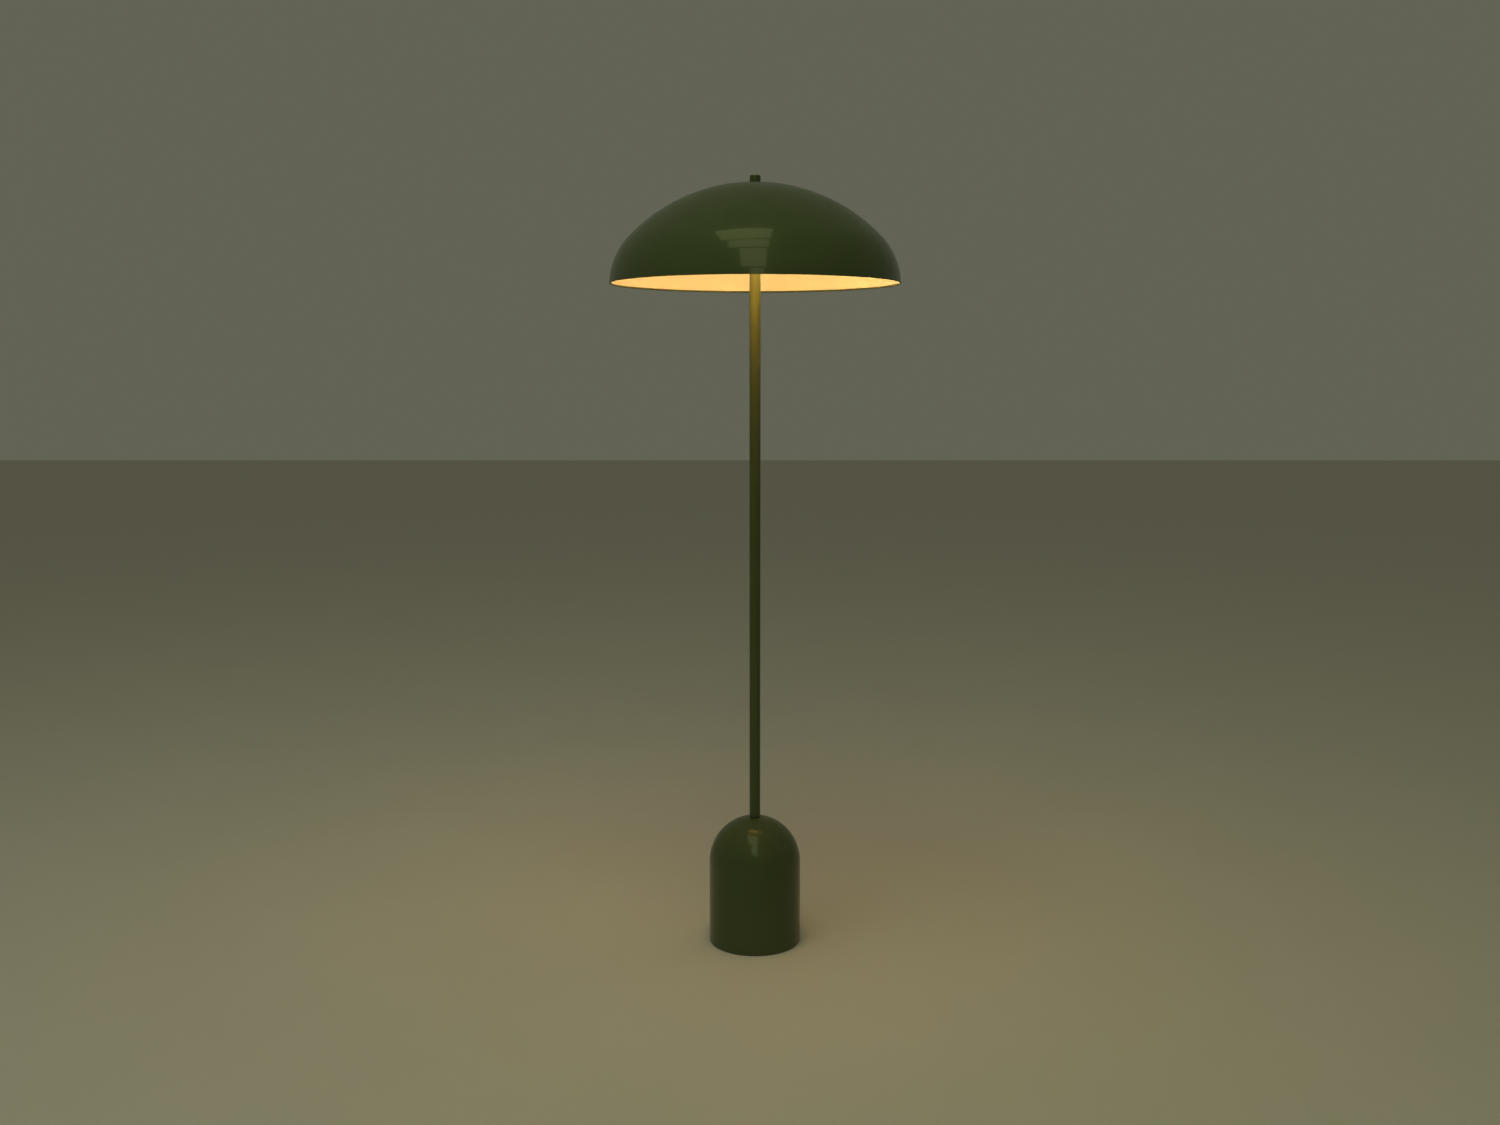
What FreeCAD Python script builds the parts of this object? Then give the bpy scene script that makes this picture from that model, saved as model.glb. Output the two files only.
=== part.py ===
"""A dome floor lamp on a straight two-piece column with a bullet-shaped weighted base.

Millimetres, +Z up. The origin is on the floor, on the column's axis; +X is right, -Y is the front.
Every sub-part is a parametric object whose sizes come from the sheet called Sizes.
"""

import FreeCAD, Part
import math
import os
import Sketcher
from FreeCAD import Placement, Rotation, Vector

# Driving dimensions, in millimetres, degrees or plain counts. A "bore" is a radius.
SIZES = {
    # clearances and edges used all over
    "fit": 0.05, "fine_edge": 0.5, "soft_edge": 1.0,
    # foot and base
    "pad_radius": 78.0, "pad_thick": 2.5,
    "plate_radius": 79.8, "plate_thick": 2.5,
    "screw_circle": 70.0, "screw_bearing": 150.0, "screw_bore": 2.0, "screw_head": 4.0, "screw_length": 9.0,
    "drive_width": 0.8, "drive_depth": 0.8, "drive_reach": 2.5,
    "base_radius": 82.0, "base_wall": 1.5, "base_skirt": 2.0,
    "dome_centre": 148.0, "land_height": 229.2,
    "weight_radius": 79.4, "weight_thick": 55.0,
    "recess_radius": 42.0, "recess_height": 25.0,
    "channel_width": 22.0, "channel_height": 29.0, "channel_start": 30.0,
    "gland_height": 20.0, "gland_flange": 8.5, "gland_flange_thick": 2.5, "gland_barrel": 6.0,
    "gland_bore": 3.5, "gland_barrel_length": 8.0, "gland_nut_radius": 8.8, "gland_nut_thick": 3.0,
    "gland_nut_gap": 0.6,
    # connector block and its screws
    "block_length": 22.0, "block_width": 26.0, "block_height": 14.0, "block_reach": 38.0,
    "block_screw_reach": 32.0, "block_pitch": 8.0, "block_hole": 2.2, "block_screw": 2.1,
    "block_screw_length": 5.0,
    "slot_width": 0.6, "slot_depth": 0.8,
    "earth_reach": 26.0, "earth_head": 4.0, "earth_head_thick": 2.5,
    # threaded tube through the base, as plain cylinders
    "stem_radius": 5.0, "stem_bore": 3.4,
    "stem_foot": 21.0, "stem_height": 222.0, "cover_clearance": 0.3, "cover_port_start": 50.0,
    "nut_corner": 9.8, "nut_thick": 6.0, "washer_radius": 12.0, "washer_thick": 1.5,
    "spacer_radius": 8.0, "spacer_wall": 2.5, "spacer_height": 165.4,
    "dome_washer_thick": 2.0,
    # column
    "gasket_radius": 9.0, "gasket_thick": 1.5,
    "tube_radius": 9.7, "tube_wall": 1.2, "tube_edge": 0.4,
    "seam_height": 894.0, "column_top": 1311.5,
    "insert_height": 20.0, "insert_inset": 0.6,
    "nipple_height": 38.0, "joint_nipple_reach": 19.0, "nipple_bore": 3.2,
    "head_nipple_height": 20.0, "head_nipple_gap": 0.5,
    # cluster at the column's head
    "cluster_radius": 13.0, "cluster_height": 21.5, "cluster_bore": 10.4, "cluster_floor": 2.5,
    "cluster_cap_thick": 3.0, "cluster_spigot": 1.5, "cluster_port_start": 5.0,
    # side arm that carries the lampholder
    "arm_bearing": 35.0, "arm_height": 1322.0, "arm_radius": 5.0, "arm_bore": 4.0,
    "arm_start": 9.6, "arm_reach": 42.0, "arm_bend": 14.0, "arm_foot": 1301.0,
    "collar_radius": 7.5, "collar_thick": 4.0,
    "lead_radius": 2.0, "lead_bend": 12.0, "lead_cluster_bend": 8.0,
    "lead_level": 11.0, "lead_start": 15.95, "lead_end_gap": 2.2,
    # lampholder, measured down from its crown
    "holder_crown": 1308.0, "holder_cap_height": 22.0, "holder_radius": 19.5,
    "holder_neck": 9.0, "holder_wall": 2.0, "holder_skirt_height": 34.0,
    "holder_shoulder": 8.0, "holder_collar": 7.0, "skirt_bore": 15.6, "skirt_inset": 0.4,
    "skirt_gap": 0.1,
    "ceramic_radius": 15.4, "ceramic_top": 13.0, "ceramic_edge": 3.0, "ceramic_sink": 2.0,
    "ceramic_thick": 12.0, "thread_shell_radius": 13.8, "thread_shell_wall": 0.4,
    "thread_shell_height": 19.0, "tongue_width": 6.0, "tongue_length": 15.0, "tongue_thick": 0.5,
    "tongue_leg": 1.5, "tongue_reach": 5.0,
    "terminal_radius": 2.0, "terminal_height": 2.4, "terminal_reach": 8.0,
    "terminal_slot_rise": 0.2,
    "ring_radius": 22.0, "ring_height": 6.0, "ring_edge": 0.8, "ring_rise": 4.0,
    # bulb, measured up from the bottom of its globe
    "bulb_foot": 1199.0, "globe_radius": 22.5, "globe_wall": 1.0, "globe_mouth": 12.0,
    "collar_height": 10.0, "collar_top": 12.4, "collar_foot": 14.5, "collar_lip": 2.0, "neck_gap": 0.3,
    "cap_radius": 13.1, "cap_wall": 0.4, "cap_height": 19.0, "cap_edge": 1.5, "cap_seat": 1.0,
    "insulator_height": 4.0, "insulator_top": 6.0, "insulator_flare": 0.9, "contact_radius": 4.5,
    "contact_height": 1.5,
    # shade and its fixing
    "rim_height": 1174.0, "dome_rise": 170.0, "shoulder_radius": 130.0, "shoulder_drop": 5.0,
    "shoulder_bend": 120.0, "shade_wall": 1.0, "enamel": 0.3, "bead": 1.3, "bead_inset": 0.9,
    "bead_gap": 0.4, "shade_hole": 5.3,
    "seat_radius": 18.0, "seat_foot": 11.0, "seat_thick": 5.1, "seat_lip": 1.5,
    "shade_gasket_radius": 16.0, "shade_gasket_thick": 1.0,
    "shade_stem_foot": 1325.0, "shade_stem_height": 27.0,
    "finial_washer_radius": 9.0, "finial_washer_thick": 1.0,
    "knob_radius": 9.4, "knob_height": 11.4, "knob_edge": 1.5, "knob_socket": 8.5,
}

SCREWS = 3
TERMINALS = 3


class Sheet:
    """The document's table of driving dimensions and sums of them."""

    def __init__(self, doc):
        self.sheet = doc.addObject("Spreadsheet::Sheet", "Sizes")
        for row, (alias, size) in enumerate(SIZES.items(), start=1):
            self.sheet.set(f"A{row}", alias)
            self.sheet.set(f"B{row}", str(size))
            self.sheet.setAlias(f"B{row}", alias)
        doc.recompute()

    def value(self, formula):
        """The number that a formula of aliases and numbers joined by + and - comes to."""
        total = 0.0
        sign = 1.0
        for word in formula.split():
            if word in ("+", "-"):
                sign = 1.0 if word == "+" else -1.0
            else:
                total += sign * (self.sheet.get(word) if word[0].isalpha() else float(word))
        return total

    def bound(self, formula):
        """The same formula as an expression that follows the sheet's cells."""
        return " ".join("Sizes." + word if word[0].isalpha() else word for word in formula.split())


def bind(item, prop, sheet, formula):
    """Tie one property of an object to a formula of the sheet."""
    item.setExpression(prop, sheet.bound(formula))


def stand(item, sheet, foot):
    """Put an object's local zero at a height on the column's axis."""
    item.Placement = Placement(Vector(0, 0, sheet.value(foot)), Rotation())
    bind(item, "Placement.Base.z", sheet, foot)


def hang(item, sheet, foot):
    """Put an object's local zero at a height on the lampholder's axis, which the arm sets."""
    reach = sheet.value("arm_reach")
    bearing = math.radians(sheet.value("arm_bearing"))
    spot = Vector(reach * math.cos(bearing), reach * math.sin(bearing), sheet.value(foot))
    item.Placement = Placement(spot, Rotation(Vector(0, 0, 1), sheet.value("arm_bearing")))
    item.setExpression("Placement.Base.x", "Sizes.arm_reach * cos(Sizes.arm_bearing * 1deg)")
    item.setExpression("Placement.Base.y", "Sizes.arm_reach * sin(Sizes.arm_bearing * 1deg)")
    bind(item, "Placement.Base.z", sheet, foot)


def origin_plane(body, role):
    """One of a body's own origin planes, by its role."""
    return next(plane for plane in body.Origin.OriginFeatures if plane.Role == role)


def new_sketch(body, name, role):
    """A sketch on one of the body's origin planes."""
    sketch = body.newObject("Sketcher::SketchObject", name)
    sketch.AttachmentSupport = [(origin_plane(body, role), "")]
    sketch.MapMode = "FlatFace"
    return sketch


def hold(sketch, sheet, kind, formula, *places):
    """Add one dimension to a sketch and tie it to a formula of the sheet."""
    index = sketch.addConstraint(Sketcher.Constraint(kind, *places, sheet.value(formula)))
    name = f"size_{index}"
    sketch.renameConstraint(index, name)
    bind(sketch, f"Constraints.{name}", sheet, formula)


def hold_point(sketch, sheet, geometry, end, across, up):
    """Fix one end of a line or arc at (across, up); an empty formula leaves that way free."""
    if across == "0":
        sketch.addConstraint(Sketcher.Constraint("PointOnObject", geometry, end, -2))
    elif across:
        hold(sketch, sheet, "DistanceX", across, -1, 1, geometry, end)
    if up == "0":
        sketch.addConstraint(Sketcher.Constraint("PointOnObject", geometry, end, -1))
    elif up:
        hold(sketch, sheet, "DistanceY", up, -1, 1, geometry, end)


def outline(sketch, sheet, corners):
    """A closed outline of straight lines through corners given as (across, up) formulas."""
    points = [Vector(sheet.value(across), sheet.value(up), 0) for across, up in corners]
    count = len(points)
    for index, point in enumerate(points):
        sketch.addGeometry(Part.LineSegment(point, points[(index + 1) % count]))
    for index, (across, up) in enumerate(corners):
        before = (index - 1) % count
        sketch.addConstraint(Sketcher.Constraint("Coincident", before, 2, index, 1))
        hold_point(sketch, sheet, index, 1, across, up)


def revolve(body, sketch, name):
    """Turn a sketch a full circle about the body's Z axis."""
    turn = body.newObject("PartDesign::Revolution", name)
    turn.Profile = sketch
    turn.ReferenceAxis = (sketch, ["V_Axis"])
    turn.Angle = 360.0
    return turn


def turned(doc, sheet, label, corners):
    """A body turned about Z from a closed outline of (radius, height) formulas."""
    body = doc.addObject("PartDesign::Body", label)
    body.Label = label
    sketch = new_sketch(body, label + "_outline", "XZ_Plane")
    outline(sketch, sheet, corners)
    revolve(body, sketch, label + "_turn")
    return body


def ring(doc, sheet, label, radius, bore, height):
    """A plain ring or sleeve."""
    corners = [(bore, "0"), (radius, "0"), (radius, height), (bore, height)]
    return turned(doc, sheet, label, corners)


def disc(doc, sheet, label, radius, height):
    """A plain disc."""
    return turned(doc, sheet, label, [("0", "0"), (radius, "0"), (radius, height), ("0", height)])


def axis_hole(body, sheet, name, radius):
    """A round hole right through a body along its Z axis."""
    sketch = new_sketch(body, name + "_circle", "XY_Plane")
    circle = sketch.addGeometry(Part.Circle(Vector(), Vector(0, 0, 1), sheet.value(radius)))
    sketch.addConstraint(Sketcher.Constraint("Coincident", circle, 3, -1, 1))
    hold(sketch, sheet, "Radius", radius, circle)
    pocket = body.newObject("PartDesign::Pocket", name)
    pocket.Profile = sketch
    pocket.Type = "ThroughAll"
    pocket.SideType = "Symmetric"


def cylinder(doc, sheet, name, radius, height):
    """A plain cylinder primitive."""
    item = doc.addObject("Part::Cylinder", name)
    bind(item, "Radius", sheet, radius)
    bind(item, "Height", sheet, height)
    return item


def slotted(doc, sheet, label, solid, span, width, depth, floor):
    """A screw with a straight slot cut across it from a floor height up."""
    slot = doc.addObject("Part::Box", label + "_slot")
    corner = Vector(-sheet.value(span), -sheet.value(width) / 2, sheet.value(floor))
    slot.Placement = Placement(corner, Rotation())
    bind(slot, "Length", sheet, span + " + " + span)
    bind(slot, "Width", sheet, width)
    bind(slot, "Height", sheet, depth)
    return cut(doc, label, solid, slot)


def cut(doc, label, base, tool):
    """One object less another."""
    item = doc.addObject("Part::Cut", label)
    item.Label = label
    item.Base = base
    item.Tool = tool
    return item


def fused(doc, label, pieces):
    """Several touching primitives as one solid."""
    item = doc.addObject("Part::MultiFuse", label)
    item.Label = label
    item.Shapes = pieces
    item.Refine = True
    return item


def hex_nut(doc, sheet, label, corner, bore, height):
    """A hexagonal nut with a plain bore."""
    prism = doc.addObject("Part::Prism", label + "_hexagon")
    prism.Polygon = 6
    bind(prism, "Circumradius", sheet, corner)
    bind(prism, "Height", sheet, height)
    return cut(doc, label, prism, cylinder(doc, sheet, label + "_bore", bore, height))


def bored_plate(doc, sheet):
    """The steel plate under the base, countersunk for its screws."""
    plate = cylinder(doc, sheet, "base_plate_disc", "plate_radius", "plate_thick")
    cones = []
    for index in range(SCREWS):
        cone = doc.addObject("Part::Cone", f"base_plate_sink_{index + 1}")
        bind(cone, "Radius1", sheet, "screw_head + fit")
        bind(cone, "Radius2", sheet, "screw_bore + fit")
        bind(cone, "Height", sheet, "plate_thick")
        cone.Placement = screw_place(sheet, index, "0")
        cones.append(cone)
    sinks = doc.addObject("Part::MultiFuse", "base_plate_sinks")
    sinks.Shapes = cones
    item = cut(doc, "base_plate", plate, sinks)
    stand(item, sheet, "pad_thick")
    return item


def screw_place(sheet, index, foot):
    """Where one of the base's screws stands."""
    angle = math.radians(sheet.value("screw_bearing") + index * 360.0 / SCREWS)
    reach = sheet.value("screw_circle")
    spot = Vector(reach * math.cos(angle), reach * math.sin(angle), sheet.value(foot))
    return Placement(spot, Rotation())


def base_screws(doc, sheet):
    """Countersunk screws that hold the plate to the weight, with a cross slot in each head."""
    screws = []
    for index in range(SCREWS):
        label = f"base_plate_screw_{index + 1}"
        head = doc.addObject("Part::Cone", label + "_head")
        bind(head, "Radius1", sheet, "screw_head")
        bind(head, "Radius2", sheet, "screw_bore")
        bind(head, "Height", sheet, "plate_thick")
        shank = cylinder(doc, sheet, label + "_shank", "screw_bore", "screw_length")
        solid = fused(doc, label + "_solid", [head, shank])
        screw = slotted(doc, sheet, label, solid, "drive_reach", "drive_width", "drive_depth", "0")
        screw.Placement = screw_place(sheet, index, "pad_thick")
        screws.append(screw)
    return screws


def base_weight(doc, sheet):
    """The cast-iron disc, with a wiring recess, a channel to the gland and the stem's bore."""
    body = turned(doc, sheet, "base_weight_casting", [
        ("recess_radius", "0"), ("weight_radius", "0"), ("weight_radius", "weight_thick"),
        ("stem_radius + fit", "weight_thick"), ("stem_radius + fit", "recess_height"),
        ("recess_radius", "recess_height"),
    ])
    channel = doc.addObject("Part::Box", "base_weight_channel")
    bind(channel, "Length", sheet, "channel_width")
    bind(channel, "Width", sheet, "weight_radius")
    bind(channel, "Height", sheet, "channel_height")
    corner = Vector(-sheet.value("channel_width") / 2, sheet.value("channel_start"), 0)
    channel.Placement = Placement(corner, Rotation())
    bores = [channel]
    for index in range(SCREWS):
        bore = cylinder(doc, sheet, f"base_weight_bore_{index + 1}", "screw_bore + fit", "screw_length")
        bore.Placement = screw_place(sheet, index, "0")
        bores.append(bore)
    earth = cylinder(doc, sheet, "base_weight_earth_bore", "screw_bore + fit", "screw_length")
    spot = Vector(sheet.value("earth_reach"), 0, sheet.value("recess_height"))
    earth.Placement = Placement(spot, Rotation())
    bores.append(earth)
    tools = doc.addObject("Part::MultiFuse", "base_weight_bores")
    tools.Shapes = bores
    item = cut(doc, "base_weight", body, tools)
    stand(item, sheet, "pad_thick + plate_thick")
    return item


def base_shell(doc, sheet):
    """The bullet-shaped cover: a cylinder that runs into a hemisphere with a small flat land."""
    body = doc.addObject("PartDesign::Body", "base_shell")
    sketch = new_sketch(body, "base_shell_outline", "XZ_Plane")
    hub = sheet.value("dome_centre")
    foot = sheet.value("base_skirt")
    outer = sheet.value("base_radius")
    inner = sheet.value("base_radius - base_wall")
    land = sheet.value("land_height")
    bore = sheet.value("stem_radius + cover_clearance")
    up = Vector(0, 0, 1)
    centre = Vector(0, hub, 0)
    land_angle = math.asin((land - hub) / outer)
    bore_angle = math.acos(bore / inner)
    land_reach = outer * math.cos(land_angle)
    crown = hub + inner * math.sin(bore_angle)
    sketch.addGeometry(Part.LineSegment(Vector(inner, foot, 0), Vector(outer, foot, 0)))
    sketch.addGeometry(Part.LineSegment(Vector(outer, foot, 0), Vector(outer, hub, 0)))
    sketch.addGeometry(Part.ArcOfCircle(Part.Circle(centre, up, outer), 0, land_angle))
    sketch.addGeometry(Part.LineSegment(Vector(land_reach, land, 0), Vector(bore, land, 0)))
    sketch.addGeometry(Part.LineSegment(Vector(bore, land, 0), Vector(bore, crown, 0)))
    sketch.addGeometry(Part.ArcOfCircle(Part.Circle(centre, up, inner), 0, bore_angle))
    sketch.addGeometry(Part.LineSegment(Vector(inner, hub, 0), Vector(inner, foot, 0)))
    joins = [(line, 2, line + 1, 1) for line in range(4)]
    joins += [(4, 2, 5, 2), (5, 1, 6, 1), (6, 2, 0, 1)]
    for join in joins:
        sketch.addConstraint(Sketcher.Constraint("Coincident", *join))
    for line in (1, 4, 6):
        sketch.addConstraint(Sketcher.Constraint("Vertical", line))
    for line in (0, 3):
        sketch.addConstraint(Sketcher.Constraint("Horizontal", line))
    hold_point(sketch, sheet, 2, 3, "0", "dome_centre")
    sketch.addConstraint(Sketcher.Constraint("Coincident", 5, 3, 2, 3))
    hold(sketch, sheet, "Radius", "base_radius", 2)
    hold(sketch, sheet, "Radius", "base_radius - base_wall", 5)
    hold_point(sketch, sheet, 2, 1, "", "dome_centre")
    hold_point(sketch, sheet, 5, 1, "", "dome_centre")
    hold_point(sketch, sheet, 0, 1, "", "base_skirt")
    hold_point(sketch, sheet, 3, 2, "stem_radius + cover_clearance", "land_height")
    revolve(body, sketch, "base_shell_turn")
    barrel = cylinder(doc, sheet, "base_shell_port", "gland_barrel + fit", "base_radius")
    start = Vector(0, sheet.value("cover_port_start"), sheet.value("gland_height"))
    barrel.Placement = Placement(start, Rotation(Vector(1, 0, 0), -90))
    body.Label = "base_shell_cover"
    return cut(doc, "base_shell", body, barrel)


def gland(doc, sheet):
    """The cable gland in the back wall, with its axis along +Y, and the nut behind the wall."""
    reach = sheet.value("base_radius + fit")
    body = turned(doc, sheet, "cable_gland", [
        ("gland_bore", "0"), ("gland_barrel", "0"), ("gland_barrel", "gland_barrel_length"),
        ("gland_flange", "gland_barrel_length"),
        ("gland_flange", "gland_barrel_length + gland_flange_thick - soft_edge"),
        ("gland_flange - soft_edge", "gland_barrel_length + gland_flange_thick"),
        ("gland_bore", "gland_barrel_length + gland_flange_thick"),
    ])
    length = sheet.value("gland_barrel_length")
    level = sheet.value("gland_height")
    outward = Rotation(Vector(1, 0, 0), -90)
    body.Placement = Placement(Vector(0, reach - length, level), outward)
    nut = hex_nut(doc, sheet, "gland_nut", "gland_nut_radius", "gland_barrel + fit", "gland_nut_thick")
    wall = sheet.value("base_radius - base_wall - gland_nut_thick - gland_nut_gap")
    nut.Placement = Placement(Vector(0, wall, level), outward)
    return [body, nut]


def base_hardware(doc, sheet):
    """Threaded tube, nut, washers and spacer that clamp the weight, cover and column together."""
    ceiling = "pad_thick + plate_thick + recess_height"
    roof = "pad_thick + plate_thick + weight_thick"
    stem = ring(doc, sheet, "base_stem", "stem_radius", "stem_bore", "stem_height")
    stand(stem, sheet, "stem_foot")
    washer = ring(doc, sheet, "stem_washer", "washer_radius", "stem_radius + fit", "washer_thick")
    stand(washer, sheet, ceiling + " - washer_thick")
    nut = hex_nut(doc, sheet, "stem_nut", "nut_corner", "stem_radius + fit", "nut_thick")
    stand(nut, sheet, ceiling + " - washer_thick - nut_thick")
    spacer = ring(doc, sheet, "spacer_tube", "spacer_radius", "spacer_radius - spacer_wall", "spacer_height")
    stand(spacer, sheet, roof)
    cap = ring(doc, sheet, "dome_washer", "washer_radius", "stem_radius + fit", "dome_washer_thick")
    stand(cap, sheet, roof + " + spacer_height")
    return [stem, washer, nut, spacer, cap]


def terminals(doc, sheet):
    """The connector block on the plate, its brass screws and the earth screw in the weight."""
    floor = sheet.value("pad_thick + plate_thick")
    half = sheet.value("block_height") / 2
    reach = -sheet.value("block_reach")
    across = sheet.value("block_reach - block_screw_reach")
    body = doc.addObject("Part::Box", "terminal_block_body")
    bind(body, "Length", sheet, "block_length")
    bind(body, "Width", sheet, "block_width")
    bind(body, "Height", sheet, "block_height")
    body.Placement = Placement(Vector(0, -sheet.value("block_width") / 2, 0), Rotation())
    holes = []
    screws = []
    for index in range(TERMINALS):
        offset = (index - 1) * sheet.value("block_pitch")
        hole = cylinder(doc, sheet, f"terminal_block_hole_{index + 1}", "block_hole", "block_height")
        hole.Placement = Placement(Vector(across, offset, half), Rotation())
        holes.append(hole)
        label = f"terminal_screw_{index + 1}"
        shank = cylinder(doc, sheet, label + "_shank", "block_screw", "block_screw_length")
        screw = slotted(doc, sheet, label, shank, "block_hole", "slot_width", "slot_depth",
                        "block_screw_length - slot_depth")
        screw.Placement = Placement(Vector(reach + across, offset, floor + half), Rotation())
        screws.append(screw)
    tools = doc.addObject("Part::MultiFuse", "terminal_block_holes")
    tools.Shapes = holes
    block = cut(doc, "terminal_block", body, tools)
    block.Placement = Placement(Vector(reach, 0, floor), Rotation())
    return [block, earth_screw(doc, sheet)] + screws


def earth_screw(doc, sheet):
    """The brass earth screw that goes up into the weight, head down."""
    head = cylinder(doc, sheet, "earth_screw_head", "earth_head", "earth_head_thick")
    shank = cylinder(doc, sheet, "earth_screw_shank", "screw_bore", "screw_length")
    shank.Placement = Placement(Vector(0, 0, sheet.value("earth_head_thick")), Rotation())
    screw = fused(doc, "earth_screw", [head, shank])
    foot = sheet.value("pad_thick + plate_thick + recess_height - earth_head_thick - fit")
    screw.Placement = Placement(Vector(sheet.value("earth_reach"), 0, foot), Rotation())
    return screw


def tube(doc, sheet, label, length):
    """One length of the column: a tube with a fine chamfer at both ends."""
    return turned(doc, sheet, label, [
        ("tube_radius - tube_wall", "0"), ("tube_radius - tube_edge", "0"), ("tube_radius", "tube_edge"),
        ("tube_radius", length + " - tube_edge"), ("tube_radius - tube_edge", length),
        ("tube_radius - tube_wall", length),
    ])


def column(doc, sheet):
    """The gasket, both tubes, their threaded inserts and the nipples that join them."""
    foot = "land_height + gasket_thick"
    seal = ring(doc, sheet, "column_gasket", "gasket_radius", "stem_radius + fit", "gasket_thick")
    stand(seal, sheet, "land_height")
    lower = tube(doc, sheet, "lower_column", "seam_height - land_height - gasket_thick")
    stand(lower, sheet, foot)
    upper = tube(doc, sheet, "upper_column", "column_top - seam_height")
    stand(upper, sheet, "seam_height")
    inserts = {
        "lower_column_foot_insert": foot + " + insert_inset",
        "lower_column_head_insert": "seam_height - insert_inset - insert_height",
        "upper_column_foot_insert": "seam_height + insert_inset",
        "upper_column_head_insert": "column_top - insert_inset - insert_height",
    }
    items = [seal, lower, upper]
    for label, height in inserts.items():
        insert = ring(doc, sheet, label, "tube_radius - tube_wall - fit", "stem_radius + fit",
                      "insert_height")
        stand(insert, sheet, height)
        items.append(insert)
    joint = ring(doc, sheet, "column_joint_nipple", "stem_radius", "nipple_bore", "nipple_height")
    stand(joint, sheet, "seam_height - joint_nipple_reach")
    head = ring(doc, sheet, "cluster_nipple", "stem_radius", "nipple_bore", "head_nipple_height")
    stand(head, sheet, "column_top + cluster_floor - head_nipple_height + head_nipple_gap")
    return items + [joint, head]


def arm_place(sheet, reach):
    """Where a piece stands whose own +Z points outward along the arm."""
    bearing = sheet.value("arm_bearing")
    turn = Rotation(Vector(0, 0, 1), bearing).multiply(Rotation(Vector(0, 1, 0), 90))
    spot = Rotation(Vector(0, 0, 1), bearing).multVec(Vector(reach, 0, sheet.value("arm_height")))
    return Placement(spot, turn)


def cluster(doc, sheet):
    """The drum at the column's head, with a side port for the arm, and its screwed cap."""
    drum = turned(doc, sheet, "cluster_drum", [
        ("stem_radius + fit", "0"), ("cluster_radius - fine_edge", "0"), ("cluster_radius", "fine_edge"),
        ("cluster_radius", "cluster_height"), ("cluster_bore", "cluster_height"),
        ("cluster_bore", "cluster_floor"), ("stem_radius + fit", "cluster_floor"),
    ])
    stand(drum, sheet, "column_top")
    port = cylinder(doc, sheet, "cluster_port", "arm_radius + fit", "cluster_radius")
    port.Placement = arm_place(sheet, sheet.value("cluster_port_start"))
    body = cut(doc, "cluster_body", drum, port)
    cap = turned(doc, sheet, "cluster_cap", [
        ("stem_radius + fit", "0"), ("cluster_bore - fit", "0"), ("cluster_bore - fit", "cluster_spigot"),
        ("cluster_radius", "cluster_spigot"),
        ("cluster_radius", "cluster_spigot + cluster_cap_thick - fine_edge"),
        ("cluster_radius - fine_edge", "cluster_spigot + cluster_cap_thick"),
        ("stem_radius + fit", "cluster_spigot + cluster_cap_thick"),
    ])
    stand(cap, sheet, "column_top + cluster_height - cluster_spigot")
    return [body, cap]


def swept(wire, radii):
    """A round bar along a wire, or a pipe when a second radius is given."""
    start = wire.Edges[0]
    heading = start.tangentAt(start.FirstParameter)
    origin = start.valueAt(start.FirstParameter)
    solids = []
    for radius in radii:
        circle = Part.Wire([Part.makeCircle(radius, origin, heading)])
        solids.append(wire.makePipeShell([circle], True, False))
    return solids[0].cut(solids[1]) if len(solids) > 1 else solids[0]


def elbow(corner, before, after, radius):
    """A quarter arc that rounds the corner between two square runs."""
    begin = corner + before * radius
    finish = corner + after * radius
    centre = corner + (before + after) * radius
    middle = centre - (before + after).normalize() * radius
    return Part.Arc(begin, middle, finish).toShape()


def lamp_arm(doc, sheet):
    """The hollow arm: out of the cluster's side and down into the lampholder."""
    reach = sheet.value("arm_reach")
    bend = sheet.value("arm_bend")
    drop = sheet.value("arm_height - arm_foot")
    start = Vector(sheet.value("arm_start"), 0, 0)
    corner = Vector(reach, 0, 0)
    back = Vector(-1, 0, 0)
    down = Vector(0, 0, -1)
    wire = Part.Wire([
        Part.LineSegment(start, corner + back * bend).toShape(),
        elbow(corner, back, down, bend),
        Part.LineSegment(corner + down * bend, corner + down * drop).toShape(),
    ])
    arm = doc.addObject("Part::Feature", "lamp_arm")
    arm.Shape = swept(wire, [sheet.value("arm_radius"), sheet.value("arm_bore")])
    bearing = Rotation(Vector(0, 0, 1), sheet.value("arm_bearing"))
    arm.Placement = Placement(Vector(0, 0, sheet.value("arm_height")), bearing)
    collar = turned(doc, sheet, "arm_collar", [
        ("arm_radius + fit", "0"), ("collar_radius", "0"), ("collar_radius", "collar_thick - soft_edge"),
        ("collar_radius - soft_edge", "collar_thick"), ("arm_radius + fit", "collar_thick"),
    ])
    collar.Placement = arm_place(sheet, sheet.value("cluster_radius + fit"))
    return [arm, collar]


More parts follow.
